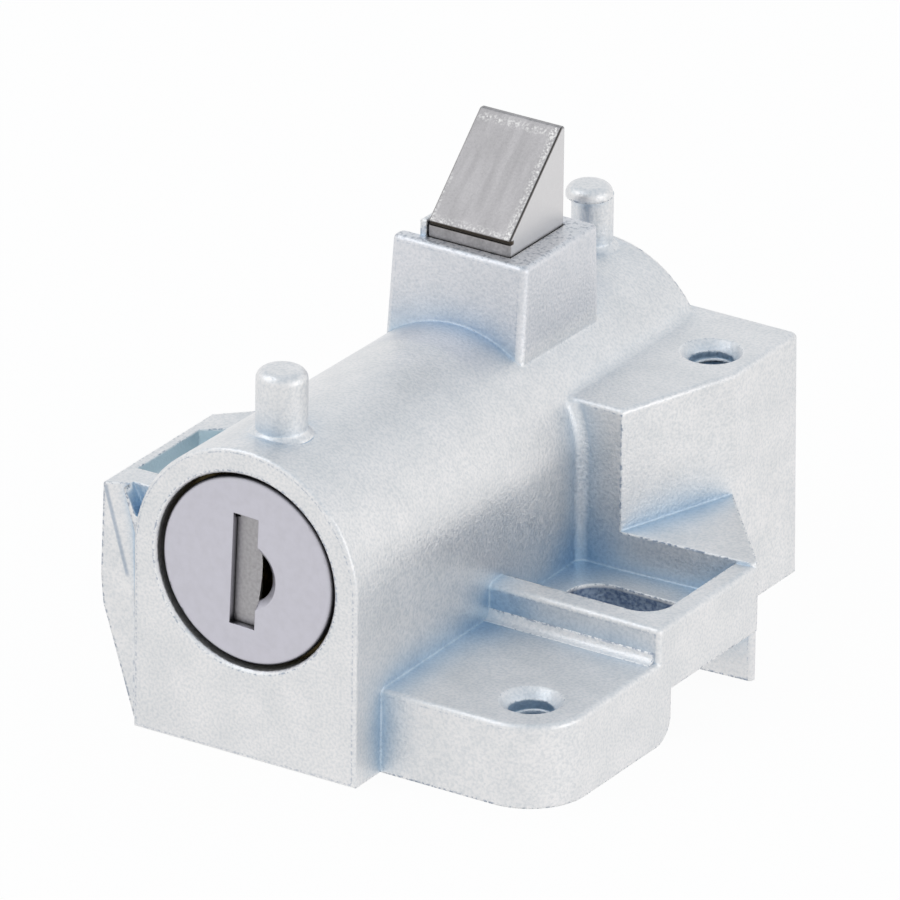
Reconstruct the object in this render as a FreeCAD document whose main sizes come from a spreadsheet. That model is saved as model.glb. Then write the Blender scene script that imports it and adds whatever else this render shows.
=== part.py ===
import FreeCAD, Part
import os
import re
import Sketcher

# Battery lock: a die-cast housing with a wafer cylinder in its nose and a spring latch bolt in a tower.
#
# While a piece is drawn, X runs to the right as seen from the nose, Y runs back from the nose face
# and Z runs up from the base. Each finished piece is then set back by pin_setback, so that the
# lock's own origin lies on the base, under the axis of the front pin.

os.makedirs("parts", exist_ok=True)
doc = FreeCAD.newDocument("battery_lock")

Vector = FreeCAD.Vector
Rotation = FreeCAD.Rotation
Placement = FreeCAD.Placement


# Driving sizes, in millimetres and degrees: name, value, what it is
SIZES = [
    ("axis_height", 15.4, "height of the cylinder axis above the base"),
    ("barrel_radius", 10.0, "outer radius of the arched nose"),
    ("barrel_rear_radius", 9.33, "outer radius of the barrel at its rear end"),
    ("barrel_length", 51.1, "length of the barrel from the nose face"),
    ("nose_round", 0.3, "rounding of the nose's front edge"),
    ("bore_radius", 8.0, "bore in the nose that takes the sleeve"),
    ("bore_break", 0.2, "broken edge at the mouth of the bore"),
    ("bore_depth", 23.0, "depth of the bore behind the nose face"),
    ("crank_bore_radius", 6.9, "bore behind the sleeve in which the crank turns"),

    ("pin_radius", 2.0, "radius of the front pin"),
    ("pin_top", 30.4, "height of the front pin above the base"),
    ("pin_setback", 5.0, "front pin behind the nose face"),
    ("pin_pitch", 43.55, "distance between the two pins"),
    ("pin_dome", 0.8, "rounding of the pins' tips"),
    ("pin_foot", 0.25, "width of the step at the foot of a pin"),
    ("rear_pin_radius", 1.85, "radius of the rear pin's head"),
    ("rear_pin_top", 29.9, "height of the rear pin above the base"),
    ("rear_pin_neck", 1.65, "radius of the rear pin under its head"),
    ("rear_pin_shift", 0.5, "how far that neck stands behind the head"),
    ("rear_pin_head", 1.0, "height of the rear pin's head"),

    ("tower_right", 5.87, "right side of the tower's top from the axis plane"),
    ("tower_left", 6.25, "left end of the tower's front plate"),
    ("tower_plate", 1.45, "thickness of that plate"),
    ("tower_lean", 1.37, "how far the tower's front leans forward down to the axis"),
    ("tower_side_lean", 0.25, "how far its sides and rear lean out down to the axis"),
    ("tower_top", 30.85, "height of the tower above the base"),
    ("tower_front_wall", 1.1, "casting in front of the bolt channel"),
    ("tower_rear_wall", 1.55, "casting behind the bolt channel"),
    ("tower_corner", 0.6, "rounding of the tower's upright corners"),
    ("tower_edge", 0.45, "rounding of the tower's top edge"),
    ("guide_rib_height", 1.35, "rib that guides the bolt's left side, above the tower"),
    ("guide_rib_width", 0.5, "thickness of that rib"),
    ("guide_rib_edge", 0.2, "rounding of the rib's top edges"),

    ("flange_front", 3.7, "front of the screw flange behind the nose face"),
    ("flange_reach", 25.0, "right side of the flange from the axis plane"),
    ("flange_height", 6.85, "thickness of the flange"),
    ("flange_corner", 5.0, "rounding of the flange's front corner"),
    ("flange_edge", 0.45, "rounding of the flange's top edge"),
    ("flange_end", 20.95, "rear end of the flange where it reaches the base"),
    ("flange_heel", 2.0, "rounding of the flange's lower rear edge"),
    ("flange_screw_side", 20.3, "flange screw from the axis plane"),
    ("flange_screw_depth", 8.5, "flange screw behind the nose face"),
    ("wall_front", 19.2, "front of the wall that crosses the flange"),
    ("wall_thickness", 2.0, "thickness of that wall"),
    ("wall_top", 9.65, "height of the walls round the tray"),
    ("wall_edge", 0.45, "rounding of those walls' outer edges"),
    ("side_wall", 1.65, "thickness of the tray's right wall"),
    ("tray_floor", 6.7, "top of the tray's floor"),
    ("tray_underside", 4.2, "underside of the tray's floor"),
    ("tray_corner", 2.4, "inner rounding of the tray's front right corner"),
    ("slot_half_width", 2.65, "half the width of the slot in the tray"),
    ("slot_middle", 26.95, "middle of the slot behind the nose face"),
    ("slot_start", 14.7, "centre of the slot's round end from the axis plane"),
    ("slot_margin", 0.4, "floor left between the slot and the right wall"),

    ("block_front", 32.3, "front of the rear screw block"),
    ("block_front_side", 13.3, "front corner of the block from the axis plane"),
    ("block_side", 16.8, "right side of the block's top from the axis plane"),
    ("block_lean", 0.33, "how far that side leans out down to the base"),
    ("block_bend", 43.0, "where the slanted side of the block ends"),
    ("block_rear", 52.5, "rear of the block behind the nose face"),
    ("block_top", 20.05, "height of the block"),
    ("block_corner", 0.6, "rounding of the block's rear corner"),
    ("block_edge", 0.4, "rounding of the block's edges"),
    ("block_screw_side", 13.1, "block screw from the axis plane"),
    ("block_screw_depth", 45.6, "block screw behind the nose face"),
    ("block_screw_length", 12.0, "depth of the block's screw hole"),
    ("foot_front", 33.0, "front of the foot at its outer corner"),
    ("foot_reach", 25.3, "outer corner of the foot from the axis plane"),
    ("foot_top", 9.9, "height of the ledge on the foot"),
    ("foot_corner", 0.4, "rounding of the foot's outer corner"),
    ("junction_round", 0.9, "hollow rounding between barrel and block"),
    ("screw_hole_radius", 1.75, "core hole for the fastening screws"),
    ("screw_mouth_radius", 2.48, "countersink of those holes"),
    ("screw_mouth_depth", 0.75, "depth of the countersink"),

    ("lug_front", 0.15, "front of the left lug behind the nose face"),
    ("lug_side", 12.8, "left side of the lug from the axis plane"),
    ("lug_bulge", 0.2, "how far the lug's side stands out at its middle"),
    ("lug_top", 19.6, "height of the lug"),
    ("lug_waist", 11.9, "height at which the lug is widest"),
    ("lug_knee", 9.6, "height at which the lug's side turns in"),
    ("lug_toe", 0.8, "height at which the lug meets the nose"),
    ("lug_bend", 15.1, "where the lug's side turns in towards the barrel"),
    ("lug_facet_foot", 10.75, "lower end of the facet on the lug's front, from the axis plane"),
    ("lug_facet_low", 12.75, "height of that end"),
    ("lug_facet_side", 11.0, "inner end of the facet at the top of the lug"),
    ("lug_facet_depth", 1.0, "depth of the facet there"),
    ("lug_notch_foot", 9.9, "lower end of the notch beside the nose, from the axis plane"),
    ("lug_notch_low", 17.5, "height of that end"),
    ("lug_notch_depth", 1.3, "depth of the notch"),
    ("lug_pocket_front", 3.7, "front of the pocket in the lug"),
    ("lug_pocket_rear", 12.2, "rear of the pocket at its outer side"),
    ("lug_pocket_slope", 0.8, "how far the pocket's rear runs back for each millimetre inward"),
    ("lug_rim", 0.7, "thickness of the rim outside the pocket"),
    ("lug_pocket_floor", 18.2, "height of the pocket's floor"),

    ("bolt_half_width", 3.72, "half the width of the bolt"),
    ("bolt_depth", 7.71, "depth of the bolt, front to rear"),
    ("bolt_front", 31.15, "front of the bolt behind the nose face"),
    ("bolt_lip", 1.3, "upright lip of the bolt above the tower"),
    ("bolt_stroke", 7.8, "travel of the bolt"),
    ("bolt_land", 0.5, "flat on the ridge of the bolt"),
    ("bolt_proud", 0.4, "how far the ridge stands out above one stroke"),
    ("bolt_edge", 0.2, "rounding of the bolt's edges"),
    ("bolt_play", 0.1, "clearance round the bolt in its channel"),
    ("bolt_spring_radius", 2.0, "outer radius of the bolt spring"),
    ("bolt_spring_wire", 0.5, "wire of the bolt spring"),
    ("bolt_spring_setback", 4.75, "axis of the bolt spring behind the bolt's front"),
    ("bolt_spring_top", 30.0, "top of the spring hole in the bolt"),
    ("spring_play", 0.2, "clearance round a spring in its hole"),
    ("spring_gap", 0.02, "gap at each end of the bolt spring"),
    ("bolt_bar", 1.7, "bar under the window of the bolt"),
    ("window_depth", 2.0, "depth of the window in the bolt"),
    ("window_half_width", 2.3, "half the width of the window"),

    ("driver_half_width", 5.2, "half the width of the driver plate"),
    ("driver_thickness", 2.8, "thickness of the driver plate"),
    ("driver_play", 0.1, "clearance beside the driver"),
    ("driver_gap", 0.25, "gap between driver and bolt"),
    ("driver_crown", 1.1, "driver above its slot"),
    ("driver_tab", 2.0, "thickness of the driver's tab"),
    ("driver_tab_half_width", 2.0, "half the width of the tab"),
    ("driver_slot_height", 2.7, "height of the slot for the crank pin"),
    ("driver_slot_start", 2.4, "inner end of that slot from the axis plane"),
    ("driver_foot", 0.5, "driver above the cover when the bolt is drawn in"),
    ("chamber_headroom", 0.7, "room above the driver"),

    ("crank_gap", 0.15, "crank disc behind the sleeve"),
    ("crank_radius", 6.7, "radius of the crank disc"),
    ("crank_thickness", 2.0, "thickness of the crank disc"),
    ("crank_pin_radius", 1.0, "radius of the crank pin"),
    ("crank_angle", 45.0, "crank pin above the axis at rest"),
    ("tail_radius", 3.2, "radius of the plug's tail"),
    ("tail_flat", 2.4, "flats on the tail, from the axis"),
    ("tail_play", 0.05, "clearance round the tail in the crank"),
    ("crank_washer_radius", 4.0, "washer behind the crank"),
    ("crank_washer_thickness", 0.5, "its thickness"),
    ("crank_screw_head", 2.3, "radius of the crank screw's head"),
    ("crank_screw_head_height", 1.5, "height of that head"),
    ("crank_screw_round", 0.4, "rounding of that head"),
    ("crank_screw_radius", 1.25, "radius of the crank screw"),
    ("crank_screw_length", 5.5, "length of the crank screw under its head"),
    ("screw_room", 0.5, "free depth past the tip of a screw"),
    ("screw_slot", 0.55, "width of the driving slots in the screws"),
    ("screw_slot_depth", 0.7, "depth of those slots"),

    ("sleeve_front", 2.6, "front of the sleeve behind the nose face"),
    ("sleeve_bore", 6.6, "inner radius of the sleeve"),
    ("channel_radius", 7.4, "radius of the broached channels in the sleeve"),
    ("channel_half_width", 3.3, "half the width of a channel"),
    ("channel_front", 5.2, "front of the channels behind the nose face"),
    ("channel_rear", 20.2, "rear of the channels"),
    ("sleeve_pin_radius", 1.0, "radius of the pin that holds the sleeve"),
    ("sleeve_pin_depth", 21.6, "that pin behind the nose face"),
    ("sleeve_pin_foot", 0.6, "lower end of that pin above the base"),
    ("sleeve_pin_bite", 1.0, "how far it enters the sleeve"),

    ("plug_play", 0.06, "running clearance of the plug in the sleeve"),
    ("plug_head_radius", 7.4, "radius of the plug's head"),
    ("plug_head_rear", 2.5, "rear of the plug's head behind the nose face"),
    ("plug_proud", 0.1, "rear of the plug behind the sleeve"),
    ("disc_setback", 0.34, "face disc behind the nose face"),
    ("disc_radius", 7.63, "radius of the face disc"),
    ("disc_thickness", 0.6, "thickness of the face disc"),
    ("disc_round", 0.35, "rounding of the disc's front edge"),
    ("keyway_half_width", 1.12, "half the width of the keyway"),
    ("keyway_height", 9.2, "height of the keyway"),
    ("keyway_low", 0.1, "keyway's middle under the axis"),
    ("keyway_side", 0.27, "keyway's middle left of the axis"),
    ("keyway_tilt", 2.0, "turn of the disc and its keyway"),
    ("keyway_bulge", 2.87, "radius of the keyway's round bulge"),
    ("keyway_bulge_inner", 2.25, "radius of that bulge at the back of the disc"),
    ("keyway_drop", 0.42, "centre of the bulge under the axis"),
    ("keyway_depth", 21.0, "end of the keyway behind the nose face"),

    ("shutter_thickness", 0.4, "thickness of the keyway shutter"),
    ("shutter_edge", 0.78, "free edge of the shutter from the axis plane"),
    ("shutter_hinge", 1.85, "hinge of the shutter left of the axis"),
    ("shutter_hinge_radius", 0.3, "radius of the shutter's trunnions"),
    ("shutter_height", 9.7, "height of the shutter"),
    ("shutter_trunnion", 0.5, "length of a trunnion"),
    ("shutter_play", 0.04, "clearance of shutter and trunnions"),
    ("shutter_pocket", 3.8, "depth of the shutter's pocket in the plug"),
    ("scoop_radius", 8.0, "radius of the hollow in the shutter"),
    ("scoop_reach", 3.2, "radius of the hollow's outline"),
    ("scoop_start", -0.13, "left end of the hollow from the axis plane"),
    ("shutter_spring_radius", 0.62, "outer radius of the shutter's coil"),
    ("shutter_spring_wire", 0.14, "wire of the shutter's coil"),
    ("shutter_spring_length", 0.8, "length of the shutter's coil"),

    ("wafer_first", 6.0, "first wafer behind the nose face"),
    ("wafer_pitch", 2.4, "distance from wafer to wafer"),
    ("wafer_thickness", 0.9, "thickness of a wafer"),
    ("wafer_play", 0.04, "clearance round a wafer"),
    ("wafer_half_width", 3.0, "half the width of a wafer"),
    ("wafer_radius", 6.35, "radius of a wafer's round ends"),
    ("wafer_window_half_width", 1.75, "half the width of a wafer's window"),
    ("wafer_window_height", 6.2, "height of a wafer's window"),
    ("bitting_step", 0.35, "how far one cut shifts a wafer's window"),
    ("wafer_stroke", 0.8, "travel of a wafer"),
    ("wafer_ear_reach", 4.5, "end of a wafer's ear from the axis"),
    ("wafer_ear_low", 1.5, "underside of the ear above the axis"),
    ("wafer_ear_height", 1.1, "height of the ear"),
    ("wafer_spring_side", 3.85, "axis of a wafer spring from the axis"),
    ("wafer_spring_radius", 0.55, "outer radius of a wafer spring"),
    ("wafer_spring_wire", 0.18, "its wire"),
    ("wafer_spring_foot", 2.6, "lower end of a wafer spring under the axis"),

    ("cover_half_width", 7.0, "half the width of the base cover"),
    ("cover_front", 23.7, "front of the cover behind the nose face"),
    ("cover_rear", 43.3, "rear of the cover"),
    ("cover_thickness", 1.5, "thickness of the cover"),
    ("cover_recess", 1.6, "depth of the recess for the cover"),
    ("cover_play", 0.1, "gap round the cover in its recess"),
    ("cover_corner", 1.5, "rounding of the cover's corners"),
    ("cover_spigot_radius", 1.2, "spigot on the cover that holds the bolt spring"),
    ("cover_spigot_height", 2.4, "height of that spigot above the cover"),
    ("cover_screw_setback", 2.3, "cover screws inside the ends of the cover"),
    ("cover_screw_radius", 1.25, "radius of a cover screw"),
    ("cover_screw_head", 2.2, "radius of its countersunk head"),
    ("cover_screw_head_height", 1.1, "height of that head"),
    ("cover_screw_length", 6.0, "length of a cover screw"),
]

# How many steps the window of each wafer is shifted, from the nose to the tail
BITTING = [0, 2, -1, 1, -2, 1]
SPRING_TURNS = {"bolt_spring": 12, "wafer_spring": 5, "shutter_spring": 3}

sheet = doc.addObject("Spreadsheet::Sheet", "sizes")
for row, (alias, value, note) in enumerate(SIZES, start=1):
    sheet.set(f"A{row}", alias)
    sheet.set(f"B{row}", str(value))
    sheet.set(f"C{row}", note)
    sheet.setAlias(f"B{row}", alias)
doc.recompute()
ALIASES = {alias for alias, _, _ in SIZES}


# Helpers that tie an object's sizes and place to the sheet
def size(alias):
    """The number in one cell."""
    return float(sheet.get(alias))


def formula(text):
    """An expression in which every size's name points at its cell."""
    def point(match):
        word = match.group()
        return "sizes." + word if word in ALIASES else word
    return re.sub(r"[a-z][a-z0-9_]*", point, text)


def bind(item, **texts):
    """Binds properties; Base_x stands for Placement.Base.x."""
    for name, text in texts.items():
        path = name.replace("Base_", "Placement.Base.").replace("Angle", "Placement.Rotation.Angle")
        item.setExpression(path, formula(text))
    return item


def box(name, x, y, z):
    """A block between two formulas along each axis."""
    item = doc.addObject("Part::Box", name)
    bind(item, Length=f"({x[1]}) - ({x[0]})", Width=f"({y[1]}) - ({y[0]})", Height=f"({z[1]}) - ({z[0]})")
    return bind(item, Base_x=x[0], Base_y=y[0], Base_z=z[0])


TURNS = {
    "x": Rotation(Vector(0, 1, 0), 90),
    "y": Rotation(Vector(1, 0, 0), -90),
    "z": Rotation(),
}


def round_bar(name, axis, radius, span, at):
    """A cylinder along an axis, over a span, at the two other coordinates."""
    item = doc.addObject("Part::Cylinder", name)
    item.Placement = Placement(Vector(), TURNS[axis])
    bind(item, Radius=radius, Height=f"({span[1]}) - ({span[0]})")
    places = dict(zip([letter for letter in "xyz" if letter != axis], at))
    places[axis] = span[0]
    return bind(item, Base_x=places["x"], Base_y=places["y"], Base_z=places["z"])


def cone(name, axis, radii, span, at):
    """A cone along an axis, with its radius at the start and at the end of the span."""
    item = doc.addObject("Part::Cone", name)
    item.Placement = Placement(Vector(), TURNS[axis])
    bind(item, Radius1=radii[0], Radius2=radii[1], Height=f"({span[1]}) - ({span[0]})")
    places = dict(zip([letter for letter in "xyz" if letter != axis], at))
    places[axis] = span[0]
    return bind(item, Base_x=places["x"], Base_y=places["y"], Base_z=places["z"])


PLANES = {
    "xy": (Rotation(), Vector(0, 0, 1), "Base_z"),
    "xz": (Rotation(Vector(1, 0, 0), 90), Vector(0, 1, 0), "Base_y"),
    "yz": (Rotation(Vector(1, 1, 1), 120), Vector(1, 0, 0), "Base_x"),
}


def outline(sketch, points):
    """Draws a closed polygon whose corners are held at the given formulas."""
    count = len(points)
    for index in range(count):
        start = Vector(index, index * index, 0)
        following = (index + 1) % count
        end = Vector(following, following * following, 0)
        sketch.addGeometry(Part.LineSegment(start, end), False)
    for index in range(count):
        sketch.addConstraint(Sketcher.Constraint("Coincident", index, 2, (index + 1) % count, 1))
    for index, (across, up) in enumerate(points):
        for kind, text in (("DistanceX", across), ("DistanceY", up)):
            held = sketch.addConstraint(Sketcher.Constraint(kind, -1, 1, index, 1, float(index + 1)))
            sketch.setExpression(f"Constraints[{held}]", formula(text))
    return sketch


def prism(name, plane, points, span):
    """A polygon drawn in a plane and extruded over a span along the third axis."""
    turn, direction, base = PLANES[plane]
    sketch = doc.addObject("Sketcher::SketchObject", name + "_outline")
    sketch.Placement = Placement(Vector(), turn)
    outline(sketch, points)
    bind(sketch, **{base: span[0]})
    item = doc.addObject("Part::Extrusion", name)
    item.Base = sketch
    item.DirMode = "Custom"
    item.Dir = direction
    item.Solid = True
    return bind(item, LengthFwd=f"({span[1]}) - ({span[0]})")


def fuse(name, *items):
    """Joins solids into one."""
    item = doc.addObject("Part::MultiFuse", name)
    item.Shapes = list(items)
    item.Refine = True
    return item


def cut(name, base, *tools):
    """Takes the tools away from the base."""
    item = doc.addObject("Part::Cut", name)
    item.Base = base
    item.Tool = tools[0] if len(tools) == 1 else fuse(name + "_tools", *tools)
    item.Refine = True
    return item


def common(name, *items):
    """Keeps what the solids share."""
    item = doc.addObject("Part::MultiCommon", name)
    item.Shapes = list(items)
    return item


def near(one, other):
    return abs(one - other) < 1e-4


def lies_at(edge, letter, value):
    """True where the whole edge lies at one coordinate."""
    bounds = edge.BoundBox
    low, high = getattr(bounds, letter.upper() + "Min"), getattr(bounds, letter.upper() + "Max")
    return near(low, value) and near(high, value)


def runs_along(edge, letter):
    """True where a straight edge runs along one axis."""
    if not isinstance(edge.Curve, (Part.Line, Part.LineSegment)):
        return False
    return near(abs(getattr(edge.tangentAt(edge.FirstParameter), letter)), 1.0)


def rounded(name, base, alias, chosen):
    """Rounds the chosen edges of a piece with one radius of the sheet."""
    doc.recompute()
    item = doc.addObject("Part::Fillet", name)
    item.Base = base
    radius = size(alias)
    edges = [number for number, edge in enumerate(base.Shape.Edges, start=1) if chosen(edge)]
    item.Edges = [(number, radius, radius) for number in edges]
    return item


def spring(name, outer, wire, foot, length, at):
    """An upright coil of round wire, swept turn by turn, whose ends stand at foot and foot + length."""
    helix = doc.addObject("Part::Helix", name + "_path")
    helix.LocalCoord = 0
    helix.SegmentLength = 1
    turns = SPRING_TURNS[re.sub(r"_\d+$", "", name)]
    name += "_coil"
    bind(helix, Radius=f"{outer} - {wire} / 2", Height=f"({length}) - {wire}", Pitch=f"(({length}) - {wire}) / {turns}")
    section = doc.addObject("Part::Circle", name + "_section")
    section.Placement = Placement(Vector(), Rotation(Vector(1, 0, 0), 90))
    bind(section, Radius=f"{wire} / 2", Base_x=f"{outer} - {wire} / 2")
    item = doc.addObject("Part::Sweep", name)
    item.Sections = [section]
    item.Spine = (helix, [f"Edge{turn}" for turn in range(1, turns + 1)])
    item.Solid = True
    item.Frenet = True
    bind(item, Base_x=at[0], Base_y=f"({at[1]}) - pin_setback", Base_z=f"({foot}) + {wire} / 2")
    return item


PIECES = []


def piece(item, label, set_back=True):
    """Names a finished piece and sets it back into the lock's own frame."""
    item.Label = label
    if set_back:
        bind(item, Base_y="-pin_setback")
    PIECES.append(item)
    return item


# Places that several pieces share
AXIS = ("0", "axis_height")
CHANNEL_FRONT = "bolt_front - bolt_play"
CHANNEL_REAR = "bolt_front + bolt_depth + bolt_play"
TOWER_FRONT = f"{CHANNEL_FRONT} - tower_front_wall"
TOWER_REAR = f"{CHANNEL_REAR} + tower_rear_wall"
CRANK_FRONT = "bore_depth + crank_gap"
CRANK_REAR = f"{CRANK_FRONT} + crank_thickness"
DRIVER_REAR = "bolt_front - driver_gap"
DRIVER_FRONT = f"{DRIVER_REAR} - driver_thickness"
CRANK_THROW = "bolt_stroke / (2 * sin(crank_angle))"
SLOT_MIDDLE = "axis_height + bolt_stroke / 2"
DRIVER_TOP = f"{SLOT_MIDDLE} + driver_slot_height / 2 + driver_crown"
DRIVER_BOTTOM = "cover_recess + driver_foot + bolt_stroke"
BOLT_BOTTOM = f"{DRIVER_TOP} - driver_tab - bolt_bar - bolt_play"
BOLT_TOP = "tower_top + bolt_stroke + bolt_proud"
RIB_LEFT = "-bolt_half_width - bolt_play - guide_rib_width"
COVER_FLOOR = "cover_recess - cover_thickness"
COVER_SCREWS = ("cover_front + cover_screw_setback", "cover_rear - cover_screw_setback")


# Housing: nose and barrel, with the rear screw block and the foot
def barrel_and_block():
    """The tapering barrel and the screw block, with the hollow rounding between them."""
    arch = cone("barrel_arch", "y", ("barrel_radius", "barrel_rear_radius"), ("0", "barrel_length"), AXIS)
    flanks = prism("barrel_flanks", "xy", [("-barrel_radius", "0"), ("barrel_radius", "0"),
                                           ("barrel_rear_radius", "barrel_length"),
                                           ("-barrel_rear_radius", "barrel_length")], ("0", "axis_height"))
    barrel = fuse("barrel", arch, flanks)
    barrel = rounded("nose_rounded", barrel, "nose_round", lambda edge: lies_at(edge, "y", 0))
    wide = "block_side + block_lean"
    bend = "block_bend + block_lean * (block_bend - block_front) / (block_side - block_front_side)"
    plan = prism("block_plan", "xy", [("0", "block_front"), ("block_front_side", "block_front"), (wide, bend),
                                      (wide, "block_rear"), ("0", "block_rear")], ("0", "block_top"))
    lean = prism("block_lean_side", "xz", [("0", "0"), (wide, "0"), ("block_side", "block_top"),
                                           ("0", "block_top")], ("block_front", "block_rear"))
    block = common("block", plan, lean)
    front, top, rear = size("block_front"), size("block_top"), size("block_rear")
    block = rounded("block_cornered", block, "block_corner", lambda edge: lies_at(edge, "y", rear) and
                    edge.BoundBox.XMin > size("block_front_side") and edge.BoundBox.ZLength > top / 2)
    block = rounded("block_rounded", block, "block_edge", lambda edge: lies_at(edge, "z", top) and
                    not lies_at(edge, "x", 0))
    solid = fuse("barrel_with_block", barrel, block)
    return rounded("barrel_junction", solid, "junction_round", lambda edge: edge.BoundBox.XMin > 0.5 and
                   edge.BoundBox.ZMax > size("foot_top") and
                   edge.BoundBox.XMax < size("barrel_radius") and
                   (lies_at(edge, "y", front) or
                    (lies_at(edge, "z", top) and edge.BoundBox.YLength > front / 2)))


def flange():
    """The screw flange, the tray behind it with its walls and slot, and the foot under the block."""
    pad = box("flange_pad", ("0", "flange_reach"), ("flange_front", "flange_end"), ("0", "flange_height"))
    pad = rounded("flange_cornered", pad, "flange_corner", lambda edge: runs_along(edge, "z") and
                  lies_at(edge, "x", size("flange_reach")) and lies_at(edge, "y", size("flange_front")))
    pad = rounded("flange_rounded", pad, "flange_edge", lambda edge: lies_at(edge, "z", size("flange_height")) and
                  not lies_at(edge, "x", 0) and not lies_at(edge, "y", size("flange_end")))
    pad = rounded("flange_heeled", pad, "flange_heel", lambda edge: lies_at(edge, "z", 0) and
                  lies_at(edge, "y", size("flange_end")))
    wall_rear = "wall_front + wall_thickness"
    tray = box("tray", ("0", "flange_reach"), ("wall_front", "foot_front + foot_corner"),
               ("tray_underside", "wall_top"))
    reach, start = size("flange_reach"), size("wall_front")
    tray = rounded("tray_rounded", tray, "wall_edge", lambda edge:
                   (lies_at(edge, "z", size("wall_top")) and (lies_at(edge, "x", reach) or lies_at(edge, "y", start)))
                   or (lies_at(edge, "x", reach) and lies_at(edge, "y", start)))
    hollow = box("tray_hollow", ("0", "flange_reach - side_wall"), (wall_rear, "barrel_length"),
                 ("tray_floor", "wall_top + 1"))
    hollow = rounded("tray_hollow_rounded", hollow, "tray_corner", lambda edge: runs_along(edge, "z") and
                     lies_at(edge, "x", size("flange_reach") - size("side_wall")) and
                     lies_at(edge, "y", size("wall_front") + size("wall_thickness")))
    slot_span = ("tray_underside - 1", "tray_floor + 1")
    slot_end = round_bar("slot_end", "z", "slot_half_width", slot_span, ("slot_start", "slot_middle"))
    slot_run = box("slot_run", ("slot_start", "flange_reach - side_wall - slot_margin"),
                   ("slot_middle - slot_half_width", "slot_middle + slot_half_width"), slot_span)
    tray = cut("tray_with_slot", tray, hollow, slot_end, slot_run)
    foot = prism("foot", "xy", [("0", "block_front"), ("block_front_side", "block_front"),
                                ("foot_reach", "foot_front"), ("block_side", "block_bend"),
                                ("0", "block_bend")], ("0", "foot_top"))
    foot = rounded("foot_rounded", foot, "foot_corner", lambda edge: runs_along(edge, "z") and
                   lies_at(edge, "x", size("foot_reach")))
    return [pad, tray, foot]


def lug():
    """The three-sided lug on the left of the nose, with its pocket, its facet and a small notch."""
    face = prism("lug_face", "xz", [("0", "lug_toe"), ("-barrel_radius", "lug_toe"), ("-lug_side", "lug_knee"),
                                    ("-lug_side - lug_bulge", "lug_waist"), ("-lug_side", "lug_top"),
                                    ("0", "lug_top")], ("lug_front", "barrel_length / 2"))
    plan = prism("lug_plan", "xy", [("0", "0"), ("-lug_side - 1", "0"), ("-lug_side - 1", "lug_bend - 1"),
                                    ("0", "lug_bend + lug_side")], ("0", "lug_top"))
    body = common("lug_body", face, plan)
    inner, rear = "lug_rim - lug_side", "lug_pocket_rear"
    pocket = prism("lug_pocket", "xy", [("0", "lug_pocket_front"), (inner, "lug_pocket_front"), (inner, rear),
                                        ("0", f"{rear} - ({inner}) * lug_pocket_slope")],
                   ("lug_pocket_floor", "lug_top + 1"))
    notch = prism("lug_notch", "xz", [("-lug_facet_side", "lug_top"), ("-lug_facet_side", "lug_top + 1"),
                                      ("0", "lug_top + 1"), ("0", "lug_notch_low"),
                                      ("-lug_notch_foot", "lug_notch_low")], ("0", "lug_front + lug_notch_depth"))
    facet = prism("lug_facet", "xy", [("-lug_side", "lug_front"), ("-lug_side", "lug_front - 1"),
                                      ("-lug_facet_side", "lug_front - 1"),
                                      ("-lug_facet_side", "lug_front + lug_facet_depth")], ("lug_top", "2 * lug_top"))
    bind(facet, **{"Dir.x": "lug_side - lug_facet_foot", "Dir.z": "lug_facet_low - lug_top"})
    return cut("lug", body, pocket, notch, facet)


def tower():
    """The tower round the bolt: a wide front plate, the body behind it and the rib beside the bolt."""
    across = ("-lug_side", "lug_side")
    along = ("0", "barrel_length")
    foot_front = f"{TOWER_FRONT} - tower_lean"
    plate_rear = f"{TOWER_FRONT} + tower_plate"
    plate_side = prism("plate_side", "yz", [(foot_front, "axis_height"), (TOWER_FRONT, "tower_top"),
                                            (plate_rear, "tower_top"), (plate_rear, "axis_height")], across)
    plate_face = prism("plate_face", "xz", [("-tower_left - tower_side_lean", "axis_height"),
                                            ("-tower_left", "tower_top"), ("tower_right", "tower_top"),
                                            ("tower_right + tower_side_lean", "axis_height")], along)
    body_side = prism("body_side", "yz", [(foot_front, "axis_height"), (TOWER_FRONT, "tower_top"),
                                          (TOWER_REAR, "tower_top"),
                                          (f"{TOWER_REAR} + tower_side_lean", "axis_height")], across)
    body_face = prism("body_face", "xz", [(RIB_LEFT, "axis_height"), (RIB_LEFT, "tower_top"),
                                          ("tower_right", "tower_top"),
                                          ("tower_right + tower_side_lean", "axis_height")], along)
    solid = fuse("tower_solid", common("tower_front_plate", plate_side, plate_face),
                 common("tower_body", body_side, body_face))
    top = size("tower_top")
    solid = rounded("tower_cornered", solid, "tower_corner", lambda edge: edge.BoundBox.ZMax > top - 1 and
                    edge.BoundBox.ZMin < top - 1 and abs(edge.BoundBox.Center.x) > size("tower_right") - 1)
    solid = rounded("tower_rounded", solid, "tower_edge", lambda edge: lies_at(edge, "z", top) and
                    (edge.BoundBox.XMax > 0 or edge.BoundBox.XMin < -size("tower_right") + 1) and
                    edge.BoundBox.XMax > -size("tower_left") + 0.01)
    rib = box("guide_rib", (RIB_LEFT, "-bolt_half_width - bolt_play"), (CHANNEL_FRONT, CHANNEL_REAR),
              ("tower_top - 1", "tower_top + guide_rib_height"))
    rib = rounded("guide_rib_rounded", rib, "guide_rib_edge", lambda edge:
                  lies_at(edge, "z", top + size("guide_rib_height")))
    return [solid, rib]


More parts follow.
